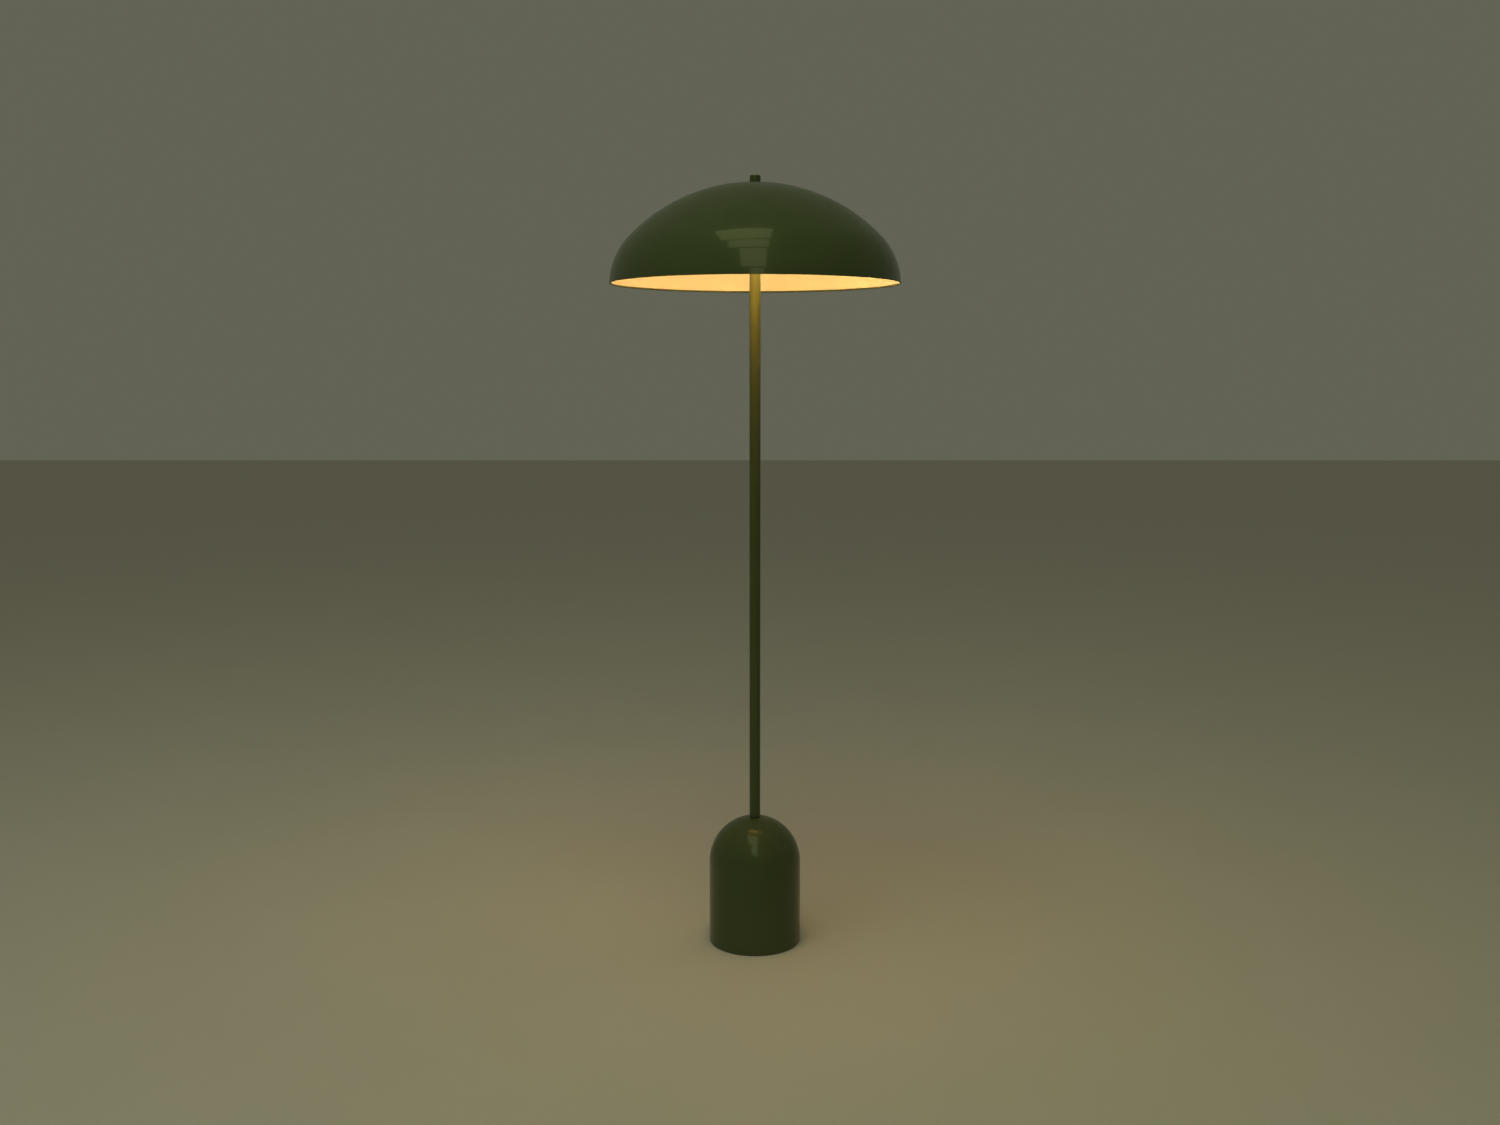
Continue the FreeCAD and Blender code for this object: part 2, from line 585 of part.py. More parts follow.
def inner_lead(doc, sheet):
    """The whole lead inside the lamp, from the connector block to the lampholder."""
    bend = sheet.value("lead_bend")
    tight = sheet.value("lead_cluster_bend")
    arm_bend = sheet.value("arm_bend")
    level = sheet.value("arm_height")
    reach = sheet.value("arm_reach")
    start = Vector(-sheet.value("lead_start"), 0, sheet.value("lead_level"))
    end = sheet.value("holder_crown - holder_cap_height + lead_end_gap")
    turn = Rotation(Vector(0, 0, 1), sheet.value("arm_bearing"))
    out = turn.multVec(Vector(1, 0, 0))
    back = turn.multVec(Vector(-1, 0, 0))
    up = Vector(0, 0, 1)
    down = Vector(0, 0, -1)
    base_corner = Vector(0, 0, start.z)
    head_corner = Vector(0, 0, level)
    arm_corner = head_corner + out * reach
    wire = Part.Wire([
        Part.LineSegment(start, base_corner + Vector(-bend, 0, 0)).toShape(),
        elbow(base_corner, Vector(-1, 0, 0), up, bend),
        Part.LineSegment(base_corner + up * bend, head_corner + down * tight).toShape(),
        elbow(head_corner, down, out, tight),
        Part.LineSegment(head_corner + out * tight, arm_corner + back * arm_bend).toShape(),
        elbow(arm_corner, back, down, arm_bend),
        Part.LineSegment(arm_corner + down * arm_bend, Vector(arm_corner.x, arm_corner.y, end)).toShape(),
    ])
    lead = doc.addObject("Part::Feature", "inner_lead")
    lead.Shape = swept(wire, [sheet.value("lead_radius")])
    section = math.pi * sheet.value("lead_radius") ** 2
    print("inner lead volume over section times length:", lead.Shape.Volume / (section * wire.Length))
    return lead


def lampholder(doc, sheet):
    """The lampholder's cover, ceramic, skirt, screw shell, centre tongue, ring and terminals."""
    seam = "holder_crown - holder_cap_height"
    ceiling = seam + " - ceramic_thick + ceramic_sink - fit"
    cap = turned(doc, sheet, "lampholder_cap", [
        ("holder_radius - holder_wall", "0"), ("holder_radius", "0"), ("holder_radius", "holder_shoulder"),
        ("holder_neck", "holder_cap_height"), ("arm_radius + fit", "holder_cap_height"),
        ("arm_radius + fit", "holder_cap_height - holder_collar"),
        ("holder_neck - soft_edge", "holder_cap_height - holder_collar"),
        ("holder_radius - holder_wall", "holder_shoulder - holder_wall"),
    ])
    hang(cap, sheet, seam)
    ceramic = turned(doc, sheet, "lampholder_insert", [
        ("0", "0"), ("ceramic_radius", "0"), ("ceramic_radius", "ceramic_thick - ceramic_edge"),
        ("ceramic_top", "ceramic_thick"), ("0", "ceramic_thick"),
    ])
    hang(ceramic, sheet, seam + " - ceramic_thick + ceramic_sink")
    skirt = turned(doc, sheet, "lampholder_skirt", [
        ("skirt_bore", "0"), ("holder_radius - skirt_inset - ring_edge", "0"),
        ("holder_radius - skirt_inset", "ring_edge"),
        ("holder_radius - skirt_inset", "holder_skirt_height - skirt_gap"),
        ("skirt_bore", "holder_skirt_height - skirt_gap"),
    ])
    hang(skirt, sheet, seam + " - holder_skirt_height")
    shell = ring(doc, sheet, "lampholder_thread_shell", "thread_shell_radius",
                 "thread_shell_radius - thread_shell_wall", "thread_shell_height")
    hang(shell, sheet, ceiling + " - thread_shell_height")
    collar = turned(doc, sheet, "lampholder_ring", [
        ("holder_radius - skirt_inset + fit", "0"), ("ring_radius - ring_edge", "0"),
        ("ring_radius", "ring_edge"), ("ring_radius", "ring_height - ring_edge"),
        ("ring_radius - ring_edge", "ring_height"), ("holder_radius - skirt_inset + fit", "ring_height"),
    ])
    hang(collar, sheet, seam + " - holder_skirt_height + ring_rise")
    return [cap, ceramic, skirt, shell, collar] + lampholder_contacts(doc, sheet, seam, ceiling)


def lampholder_contacts(doc, sheet, seam, ceiling):
    """The bent centre tongue and the two terminal screws."""
    heel = Vector(-sheet.value("tongue_reach"), -sheet.value("tongue_width") / 2, 0)
    strip = doc.addObject("Part::Box", "lampholder_tongue_strip")
    bind(strip, "Length", sheet, "tongue_length")
    bind(strip, "Width", sheet, "tongue_width")
    bind(strip, "Height", sheet, "tongue_thick")
    strip.Placement = Placement(heel, Rotation())
    leg = doc.addObject("Part::Box", "lampholder_tongue_leg")
    bind(leg, "Length", sheet, "tongue_thick")
    bind(leg, "Width", sheet, "tongue_width")
    bind(leg, "Height", sheet, "tongue_leg")
    toe = Vector(sheet.value("tongue_length - tongue_thick"), 0, 0)
    leg.Placement = Placement(heel + toe, Rotation())
    tongue = fused(doc, "lampholder_tongue", [strip, leg])
    hang(tongue, sheet, ceiling + " - tongue_leg")
    items = [tongue]
    for index, side in enumerate(("-", "+"), start=1):
        label = f"lampholder_terminal_{index}"
        shank = cylinder(doc, sheet, label + "_shank", "terminal_radius", "terminal_height")
        screw = slotted(doc, sheet, label, shank, "block_hole", "slot_width", "slot_depth",
                        "terminal_height - slot_depth + terminal_slot_rise")
        hang(screw, sheet, seam + " + ceramic_sink + fit")
        across = f"Sizes.arm_reach * cos(Sizes.arm_bearing * 1deg) {side} Sizes.terminal_reach"
        screw.setExpression("Placement.Base.x", across)
        items.append(screw)
    return items


def bulb(doc, sheet):
    """The bulb: opal globe, plastic neck, screw cap, insulator and centre contact."""
    hub = "bulb_foot + globe_radius"
    rise = math.sqrt(sheet.value("globe_radius") ** 2 - sheet.value("globe_mouth") ** 2)
    outer = doc.addObject("Part::Sphere", "bulb_globe_outer")
    bind(outer, "Radius", sheet, "globe_radius")
    inner = doc.addObject("Part::Sphere", "bulb_globe_inner")
    bind(inner, "Radius", sheet, "globe_radius - globe_wall")
    mouth = cylinder(doc, sheet, "bulb_globe_mouth", "globe_mouth", "globe_radius")
    hollow = fused(doc, "bulb_globe_hollow", [inner, mouth])
    globe = cut(doc, "bulb_globe", outer, hollow)
    hang(globe, sheet, hub)
    neck = f"{hub} + {rise:.4f} + neck_gap"
    collar = turned(doc, sheet, "bulb_collar", [
        ("0", "0"), ("collar_foot", "0"), ("collar_foot", "collar_lip"), ("collar_top", "collar_height"),
        ("0", "collar_height"),
    ])
    hang(collar, sheet, neck)
    return [globe, collar] + bulb_cap(doc, sheet, neck + " + collar_height")


def bulb_cap(doc, sheet, foot):
    """The bulb's screw cap from its foot height up, with its insulator and centre contact."""
    cap = turned(doc, sheet, "bulb_cap", [
        ("cap_radius - cap_wall", "0"), ("cap_radius", "0"), ("cap_radius", "cap_height - cap_edge"),
        ("cap_radius - cap_edge", "cap_height"), ("insulator_top + soft_edge", "cap_height"),
        ("insulator_top + soft_edge", "cap_height - cap_wall"),
        ("cap_radius - cap_edge - cap_wall", "cap_height - cap_wall"),
        ("cap_radius - cap_wall", "cap_height - cap_edge - cap_wall"),
    ])
    hang(cap, sheet, foot)
    insulator = turned(doc, sheet, "bulb_insulator", [
        ("0", "0"), ("insulator_top + insulator_flare", "0"), ("insulator_top", "insulator_height"),
        ("0", "insulator_height"),
    ])
    hang(insulator, sheet, foot + " + cap_height - cap_seat")
    contact = turned(doc, sheet, "bulb_contact", [
        ("0", "0"), ("contact_radius", "0"), ("contact_radius - soft_edge", "contact_height"),
        ("0", "contact_height"),
    ])
    contact_foot = foot + " + cap_height - cap_seat + insulator_height"
    hang(contact, sheet, contact_foot)
    top = sheet.value(contact_foot + " + contact_height")
    tongue = "holder_crown - holder_cap_height - ceramic_thick + ceramic_sink - fit - tongue_leg"
    print("bulb contact is", round(sheet.value(tongue) - top, 3), "mm below the tongue")
    return [cap, insulator, contact]


def less(formula, offset):
    """A formula with a sum of sizes taken off it."""
    return formula + " - " + offset.replace(" + ", " - ")


def dome_arc(sketch, sheet, offset, foot):
    """Two tangent arcs of the shade's section, inset by an offset, from a foot height to the axis."""
    inset = sheet.value(offset)
    shoulder = sheet.value("shoulder_bend") - inset
    hub = Vector(sheet.value("shoulder_radius"), -sheet.value("shoulder_drop"), 0)
    rise = sheet.value("dome_rise")
    gap = rise + sheet.value("shoulder_drop")
    bend = sheet.value("shoulder_bend")
    reach = (hub.x ** 2 + gap ** 2 - bend ** 2) / (2 * (gap - bend))
    crown = Vector(0, rise - reach, 0)
    tangent = math.atan2(hub.y - crown.y, hub.x)
    low = math.asin((sheet.value(foot) - hub.y) / shoulder)
    up = Vector(0, 0, 1)
    first = sketch.addGeometry(Part.ArcOfCircle(Part.Circle(hub, up, shoulder), low, tangent))
    second = sketch.addGeometry(Part.ArcOfCircle(Part.Circle(crown, up, reach - inset), tangent, math.pi / 2))
    hold(sketch, sheet, "DistanceX", "shoulder_radius", -1, 1, first, 3)
    hold(sketch, sheet, "DistanceY", "shoulder_drop", first, 3, -1, 1)
    hold(sketch, sheet, "Radius", less("shoulder_bend", offset), first)
    hold_point(sketch, sheet, first, 1, "", foot)
    sketch.addConstraint(Sketcher.Constraint("Tangent", first, 2, second, 1))
    hold_point(sketch, sheet, second, 3, "0", "")
    hold_point(sketch, sheet, second, 2, "0", less("dome_rise", offset))
    return first, second


def dome_layer(doc, sheet, label, outer, inner, foot):
    """One layer of the shade between two insets of the same section, pierced at its crown."""
    body = doc.addObject("PartDesign::Body", label)
    body.Label = label
    sketch = new_sketch(body, label + "_outline", "XZ_Plane")
    outside = dome_arc(sketch, sheet, outer, foot)
    inside = dome_arc(sketch, sheet, inner, foot)
    ends = ((outside[0], 1, inside[0], 1), (outside[1], 2, inside[1], 2))
    for geometry, end, other, other_end in ends:
        begin = sketch.getPoint(geometry, end)
        finish = sketch.getPoint(other, other_end)
        line = sketch.addGeometry(Part.LineSegment(begin, finish))
        sketch.addConstraint(Sketcher.Constraint("Coincident", line, 1, geometry, end))
        sketch.addConstraint(Sketcher.Constraint("Coincident", line, 2, other, other_end))
    revolve(body, sketch, label + "_turn")
    axis_hole(body, sheet, label + "_hole", "shade_hole")
    stand(body, sheet, "rim_height")
    return body


def rim_bead(body, sheet):
    """The rolled edge inside the shade's rim."""
    sketch = new_sketch(body, "shade_bead_circle", "XZ_Plane")
    radius = sheet.value("bead")
    reach = "shoulder_radius + shoulder_bend - shade_wall - bead_inset"
    centre = Vector(sheet.value(reach), radius, 0)
    circle = sketch.addGeometry(Part.Circle(centre, Vector(0, 0, 1), radius))
    hold_point(sketch, sheet, circle, 3, reach, "bead")
    hold(sketch, sheet, "Radius", "bead", circle)
    return revolve(body, sketch, "shade_bead_turn")


def shade(doc, sheet):
    """The spun shade, its white enamel, the seat, gasket and threaded stem under its crown."""
    shell = dome_layer(doc, sheet, "shade_shell", "0", "shade_wall", "0")
    rim_bead(shell, sheet)
    lining = dome_layer(doc, sheet, "shade_white_lining", "shade_wall + fit", "shade_wall + enamel",
                        "bead + bead + bead_gap")
    head = "column_top + cluster_height + cluster_cap_thick"
    seat = turned(doc, sheet, "shade_seat", [
        ("stem_radius + fit", "0"), ("seat_foot", "0"), ("seat_radius", "seat_thick - seat_lip"),
        ("seat_radius", "seat_thick"), ("stem_radius + fit", "seat_thick"),
    ])
    stand(seat, sheet, head)
    seal = ring(doc, sheet, "shade_gasket", "shade_gasket_radius", "stem_radius + fit", "shade_gasket_thick")
    stand(seal, sheet, head + " + seat_thick")
    stem = ring(doc, sheet, "shade_stem", "stem_radius", "nipple_bore", "shade_stem_height")
    stand(stem, sheet, "shade_stem_foot")
    return [shell, lining, seat, seal, stem]


def finial(doc, sheet):
    """The washer on the crown and the round knob that holds the shade down."""
    crown = "rim_height + dome_rise"
    washer = ring(doc, sheet, "finial_washer", "finial_washer_radius", "stem_radius + fit",
                  "finial_washer_thick")
    stand(washer, sheet, crown)
    knob = turned(doc, sheet, "finial_knob", [
        ("stem_radius + fit", "0"), ("knob_radius - fine_edge", "0"), ("knob_radius", "fine_edge"),
        ("knob_radius", "knob_height - knob_edge"), ("knob_radius - knob_edge", "knob_height"),
        ("0", "knob_height"), ("0", "knob_socket"), ("stem_radius + fit", "knob_socket"),
    ])
    stand(knob, sheet, crown + " + finial_washer_thick")
    return [washer, knob]


def check(doc, parts):
    """Stop if any object failed or any sub-part isn't one valid solid."""
    for item in doc.Objects:
        if "Invalid" in item.State or "Error" in item.State:
            raise RuntimeError(f"{item.Name} failed: {item.State}")
    for part in parts:
        if part.Shape.isNull() or not part.Shape.isValid() or len(part.Shape.Solids) != 1:
            raise RuntimeError(f"{part.Label} isn't one valid solid")


def main():
    """Build the document, check it and write each sub-part to its own file."""
    doc = FreeCAD.newDocument("dome_floor_lamp")
    sheet = Sheet(doc)
    pad = disc(doc, sheet, "foot_pad", "pad_radius", "pad_thick")
    parts = [pad, bored_plate(doc, sheet), base_weight(doc, sheet), base_shell(doc, sheet)]
    parts += base_screws(doc, sheet)
    parts += gland(doc, sheet)
    parts += base_hardware(doc, sheet)
    parts += terminals(doc, sheet)
    parts += column(doc, sheet)
    parts += cluster(doc, sheet)
    parts += lamp_arm(doc, sheet)
    parts.append(inner_lead(doc, sheet))
    parts += lampholder(doc, sheet)
    parts += bulb(doc, sheet)
    parts += shade(doc, sheet)
    parts += finial(doc, sheet)
    doc.recompute()
    check(doc, parts)
    os.makedirs("parts", exist_ok=True)
    for part in parts:
        part.Shape.exportStep(f"parts/{part.Label}.step")
    print(len(parts), "sub-parts written")


main()
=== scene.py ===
import logging
import math
from dataclasses import dataclass, field
from enum import Enum
from typing import Callable, Optional, Sequence, Union

import bmesh
import bpy
from mathutils import Matrix, Vector


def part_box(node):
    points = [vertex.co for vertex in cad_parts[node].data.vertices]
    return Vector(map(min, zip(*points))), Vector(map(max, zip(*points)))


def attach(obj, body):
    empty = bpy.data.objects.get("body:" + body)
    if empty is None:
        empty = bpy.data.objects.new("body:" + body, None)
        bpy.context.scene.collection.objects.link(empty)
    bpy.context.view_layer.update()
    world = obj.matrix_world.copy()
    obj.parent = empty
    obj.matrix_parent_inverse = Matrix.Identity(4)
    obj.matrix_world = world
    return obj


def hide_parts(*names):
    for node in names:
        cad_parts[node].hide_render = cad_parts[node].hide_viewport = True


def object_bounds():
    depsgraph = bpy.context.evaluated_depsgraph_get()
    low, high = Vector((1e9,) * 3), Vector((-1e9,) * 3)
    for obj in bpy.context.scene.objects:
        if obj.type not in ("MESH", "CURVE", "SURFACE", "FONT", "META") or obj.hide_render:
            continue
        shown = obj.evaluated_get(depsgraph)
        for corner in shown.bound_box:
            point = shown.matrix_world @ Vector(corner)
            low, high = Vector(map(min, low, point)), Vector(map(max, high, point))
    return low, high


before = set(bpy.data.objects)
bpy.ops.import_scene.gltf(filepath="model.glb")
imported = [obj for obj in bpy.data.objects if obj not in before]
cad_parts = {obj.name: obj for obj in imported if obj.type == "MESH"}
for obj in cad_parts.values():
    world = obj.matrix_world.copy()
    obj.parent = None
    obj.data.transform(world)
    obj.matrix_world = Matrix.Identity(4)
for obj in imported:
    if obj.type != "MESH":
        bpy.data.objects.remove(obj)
CAD_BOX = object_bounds()

log = logging.getLogger("dome_floor_lamp")

Colour = tuple[float, float, float]
Point = tuple[float, float]
Number = Union[float, "Value"]


# ---------------------------------------------------------------- shader maths


@dataclass(frozen=True)
class Value:
    """A number that varies over a surface, with arithmetic that adds Math nodes.

    Args:
        shader: the material being built.
        socket: the output socket that carries the number.
    """

    shader: "Shader"
    socket: bpy.types.NodeSocket

    def math(self, operation: str, *numbers: Number) -> "Value":
        """Add one Math node.

        Args:
            operation: the Math node's operation.
            numbers: its inputs, in order.

        Returns:
            The node's result.
        """
        return self.shader.node("ShaderNodeMath", {"operation": operation}, dict(enumerate(numbers)))

    def __add__(self, other: Number) -> "Value":
        """This plus other."""
        return self.math("ADD", self, other)

    def __radd__(self, other: Number) -> "Value":
        """Other plus this."""
        return self.math("ADD", other, self)

    def __sub__(self, other: Number) -> "Value":
        """This less other."""
        return self.math("SUBTRACT", self, other)

    def __rsub__(self, other: Number) -> "Value":
        """Other less this."""
        return self.math("SUBTRACT", other, self)

    def __mul__(self, other: Number) -> "Value":
        """This times other."""
        return self.math("MULTIPLY", self, other)

    def __rmul__(self, other: Number) -> "Value":
        """Other times this."""
        return self.math("MULTIPLY", other, self)

    def __truediv__(self, other: Number) -> "Value":
        """This over other."""
        return self.math("DIVIDE", self, other)

    def power(self, exponent: Number) -> "Value":
        """This raised to an exponent."""
        return self.math("POWER", self, exponent)

    def absolute(self) -> "Value":
        """This without its sign."""
        return self.math("ABSOLUTE", self)

    def sine(self) -> "Value":
        """The sine of this."""
        return self.math("SINE", self)

    def ramp(self, low: float, high: float) -> "Value":
        """A smooth step from 0 at low to 1 at high.

        Args:
            low: where the step starts.
            high: where the step ends; it may be under low for a falling step.

        Returns:
            The step.
        """
        settings = {"interpolation_type": "SMOOTHSTEP"}
        if low < high:
            return self.shader.node("ShaderNodeMapRange", settings, {0: self, 1: low, 2: high})
        return 1.0 - self.shader.node("ShaderNodeMapRange", settings, {0: self, 1: high, 2: low})


class Shader:
    """A material's node tree, built node by node."""

    def __init__(self, name: str) -> None:
        """Start an empty material.

        Args:
            name: the material's name.
        """
        self.material = bpy.data.materials.new(name)
        self.material.use_nodes = True
        self.tree = self.material.node_tree
        self.tree.nodes.clear()
        self.output = self.tree.nodes.new("ShaderNodeOutputMaterial")
        self.place = self.node("ShaderNodeTexCoord", {}, {}, "Object")

    def node(self, kind: str, settings: dict, inputs: dict, result: Union[int, str] = 0) -> Value:
        """Add one node: its type, then its settings, then its sockets.

        Args:
            kind: the node's type name.
            settings: properties set before the sockets; "stops" fills a colour ramp.
            inputs: constants or values for the sockets, by name or index.
            result: the output wanted, by name or index.

        Returns:
            That output.
        """
        item = self.tree.nodes.new(kind)
        for name, setting in settings.items():
            if name == "stops":
                self.fill_ramp(item.color_ramp, setting)
            else:
                setattr(item, name, setting)
        for socket, value in inputs.items():
            if isinstance(value, Value):
                self.tree.links.new(value.socket, item.inputs[socket])
            else:
                item.inputs[socket].default_value = value
        return Value(self, item.outputs[result])

    @staticmethod
    def fill_ramp(ramp: bpy.types.ColorRamp, stops: Sequence[tuple[float, Colour]]) -> None:
        """Set a colour ramp's stops, in rising order."""
        while len(ramp.elements) < len(stops):
            ramp.elements.new(1.0)
        for element, (position, colour) in zip(ramp.elements, stops):
            element.position = position
            element.color = (*colour, 1.0)

    def noise(self, scale: float, detail: float = 3.0, stretch: Colour = (1.0, 1.0, 1.0)) -> Value:
        """Smooth noise of about 0 to 1 with a given number of features a metre.

        Args:
            scale: features a metre.
            detail: how many finer layers are added.
            stretch: how much each axis is scaled first.

        Returns:
            The noise.
        """
        place = self.place
        if stretch != (1.0, 1.0, 1.0):
            place = self.node("ShaderNodeVectorMath", {"operation": "MULTIPLY"}, {0: place, 1: stretch})
        return self.node("ShaderNodeTexNoise", {}, {"Vector": place, "Scale": scale, "Detail": detail})

    def axes(self) -> tuple[Value, Value, Value]:
        """The X, Y and Z of a point on the object, in metres."""
        split = self.node("ShaderNodeSeparateXYZ", {}, {0: self.place}, "X")
        outputs = split.socket.node.outputs
        return split, Value(self, outputs["Y"]), Value(self, outputs["Z"])

    def radius(self, centre: Point = (0.0, 0.0)) -> Value:
        """The distance from an upright axis, in metres.

        Args:
            centre: where the axis stands.

        Returns:
            The distance.
        """
        across, deep, _ = self.axes()
        side = across - centre[0]
        back = deep - centre[1]
        return (side * side + back * back).power(0.5)

    def upness(self) -> Value:
        """The surface normal's upward part, 1 on level tops."""
        normal = self.node("ShaderNodeNewGeometry", {}, {}, "Normal")
        return self.node("ShaderNodeSeparateXYZ", {}, {0: normal}, "Z")

    def mix(self, mask: Number, first: Union[Colour, Value], second: Union[Colour, Value]) -> Value:
        """Blend two colours by a mask."""
        colours = [(*item, 1.0) if isinstance(item, tuple) else item for item in (first, second)]
        return self.node("ShaderNodeMix", {"data_type": "RGBA"}, {0: mask, 6: colours[0], 7: colours[1]}, 2)

    def bump(self, height: Value, depth: float, under: Union[Value, None] = None) -> Value:
        """Turn a height of 0 to 1 into a normal.

        Args:
            height: the relief.
            depth: how deep the relief is, in metres.
            under: a normal to add to.

        Returns:
            The normal.
        """
        inputs = {"Height": height, "Distance": depth, "Strength": 1.0}
        if under is not None:
            inputs["Normal"] = under
        return self.node("ShaderNodeBump", {}, inputs)

    def finish(self, **sockets: Union[float, Colour, Value]) -> bpy.types.Material:
        """Add the surface shader and close the material.

        Args:
            sockets: the shader's inputs, with _ for each space.

        Returns:
            The material.
        """
        inputs = {}
        for name, value in sockets.items():
            socket = name.replace("_", " ").title().replace("Ior", "IOR")
            inputs[socket] = (*value, 1.0) if isinstance(value, tuple) else value
        surface = self.node("ShaderNodeBsdfPrincipled", {}, inputs)
        self.tree.links.new(surface.socket, self.output.inputs["Surface"])
        return self.material


# ---------------------------------------------------------------- finishes


class Grain(Enum):
    """How the metal under a paint was formed, which sets the faint lines in its gloss."""

    SPUN = "rings about the axis"
    DRAWN = "lines along the length"
    PRESSED = "no lines"


@dataclass(frozen=True)
class GreenEnamel:
    """Glossy olive powder coat on spun, drawn or pressed metal."""

    name: str
    grain: Grain
    edges: tuple[float, ...] = ()
    colour: Colour = (0.062, 0.085, 0.027)
    light: Colour = (0.076, 0.102, 0.035)
    dust: Colour = (0.22, 0.22, 0.15)
    primer: Colour = (0.20, 0.20, 0.15)

    def make(self) -> bpy.types.Material:
        """Build the coat with its cloudiness, orange peel, dust, smudges and worn edges.

        Returns:
            The material.
        """
        shader = Shader(self.name)
        _, _, height = shader.axes()
        cloud = shader.noise(7.0, 4.0).ramp(0.35, 0.7)
        fleck = shader.noise(1600.0, 1.0).ramp(0.45, 0.75)
        colour = shader.mix(cloud * 0.35 + fleck * 0.18, self.colour, self.light)
        settled = shader.upness().ramp(0.45, 1.0) * shader.noise(38.0, 6.0).ramp(0.35, 0.75)
        specks = shader.noise(420.0, 2.0).ramp(0.66, 0.74) * shader.upness().ramp(0.1, 0.8)
        colour = shader.mix(settled * 0.10 + specks * 0.16, colour, self.dust)
        smudge = shader.noise(16.0, 5.0, (1.0, 1.0, 0.5)).ramp(0.52, 0.72)
        wear = self.worn(shader, height)
        colour = shader.mix(wear, colour, self.primer)
        rough = 0.30 + smudge * 0.07 + settled * 0.12 + wear * 0.2
        return shader.finish(
            base_color=colour, roughness=rough, normal=self.relief(shader, height),
            coat_weight=0.5 - settled * 0.15 - wear * 0.35, coat_roughness=0.07, coat_ior=1.42,
            specular_ior_level=0.15,
        )

    def worn(self, shader: Shader, height: Value) -> Value:
        """Where the coat has rubbed thin: small patches along the named edges.

        Args:
            shader: the material being built.
            height: the point's height.

        Returns:
            A mask, 0 where the coat is whole.
        """
        worn: Value = shader.noise(300.0, 3.0) * 0.0
        patches = shader.noise(170.0, 5.0).ramp(0.60, 0.68)
        for edge in self.edges:
            worn = worn + (height - edge).absolute().ramp(0.0016, 0.0004) * patches
        return worn * 0.7

    def relief(self, shader: Shader, height: Value) -> Value:
        """The coat's orange peel over the metal's forming lines.

        Args:
            shader: the material being built.
            height: the point's height.

        Returns:
            The normal.
        """
        peel = shader.noise(330.0, 2.0) * 0.75 + shader.noise(1300.0, 1.0) * 0.25
        normal = shader.bump(peel, 0.000035)
        if self.grain is Grain.SPUN:
            rings = (shader.radius() * 620.0 + height * 900.0).sine() * 0.5 + 0.5
            return shader.bump(rings * shader.noise(11.0), 0.000012, normal)
        if self.grain is Grain.DRAWN:
            return shader.bump(shader.noise(420.0, 2.0, (1.0, 1.0, 0.02)), 0.00004, normal)
        return shader.bump(shader.noise(24.0, 1.0), 0.00012, normal)


@dataclass(frozen=True)
class WhiteEnamel:
    """Satin white coat inside the shade, faintly yellowed over the bulb."""

    name: str
    bulb: Point
    colour: Colour = (0.80, 0.76, 0.66)
    aged: Colour = (0.78, 0.70, 0.52)

    def make(self) -> bpy.types.Material:
        """Build the coat with its yellowing, spin lines and dust.

        Returns:
            The material.
        """
        shader = Shader(self.name)
        _, _, height = shader.axes()
        warmed = shader.radius(self.bulb).ramp(0.14, 0.01) * (0.6 + shader.noise(20.0) * 0.4)
        cloud = shader.noise(30.0, 5.0).ramp(0.4, 0.75)
        colour = shader.mix(warmed * 0.45 + cloud * 0.05, self.colour, self.aged)
        specks = shader.noise(500.0, 1.0).ramp(0.70, 0.76)
        colour = shader.mix(specks * 0.12, colour, (0.45, 0.42, 0.34))
        rings = (shader.radius() * 620.0 + height * 900.0).sine() * 0.5 + 0.5
        normal = shader.bump(shader.noise(700.0, 2.0), 0.00006)
        normal = shader.bump(rings * shader.noise(13.0), 0.00002, normal)
        return shader.finish(base_color=colour, roughness=0.42 + cloud * 0.08 + specks * 0.2, normal=normal)


@dataclass(frozen=True)
class BareMetal:
    """Plated, turned or brushed metal with fine lines and a few stains."""

    name: str
    colour: Colour
    stain: Colour
    rough: float = 0.28
    lines: Colour = (1.0, 1.0, 0.05)

    def make(self) -> bpy.types.Material:
        """Build the metal with its lines, cloud and stains.

        Returns:
            The material.
        """
        shader = Shader(self.name)
        cloud = shader.noise(90.0, 5.0).ramp(0.4, 0.75)
        spots = shader.noise(260.0, 4.0).ramp(0.62, 0.74)
        colour = shader.mix(cloud * 0.35 + spots * 0.4, self.colour, self.stain)
        lines = shader.noise(900.0, 2.0, self.lines)
        rough = self.rough + cloud * 0.12 + spots * 0.15 + lines * 0.06
        normal = shader.bump(lines, 0.00003)
        return shader.finish(base_color=colour, metallic=1.0 - spots * 0.3, roughness=rough, normal=normal)


@dataclass(frozen=True)
class CastIron:
    """Sand-cast iron under black primer, rusting where the primer is thin."""

    name: str

    def make(self) -> bpy.types.Material:
        """Build the casting's grain, pits and rust.

        Returns:
            The material.
        """
        shader = Shader(self.name)
        sand = shader.noise(900.0, 4.0)
        pits = shader.noise(140.0, 4.0).ramp(0.62, 0.78)
        rust = shader.noise(45.0, 6.0).ramp(0.58, 0.75)
        colour = shader.mix(sand * 0.5, (0.022, 0.022, 0.023), (0.05, 0.05, 0.05))
        colour = shader.mix(rust * 0.6, colour, (0.16, 0.06, 0.025))
        normal = shader.bump(sand, 0.0003)
        normal = shader.bump(1.0 - pits, 0.0005, normal)
        return shader.finish(base_color=colour, metallic=0.15, roughness=0.62 + rust * 0.25, normal=normal)


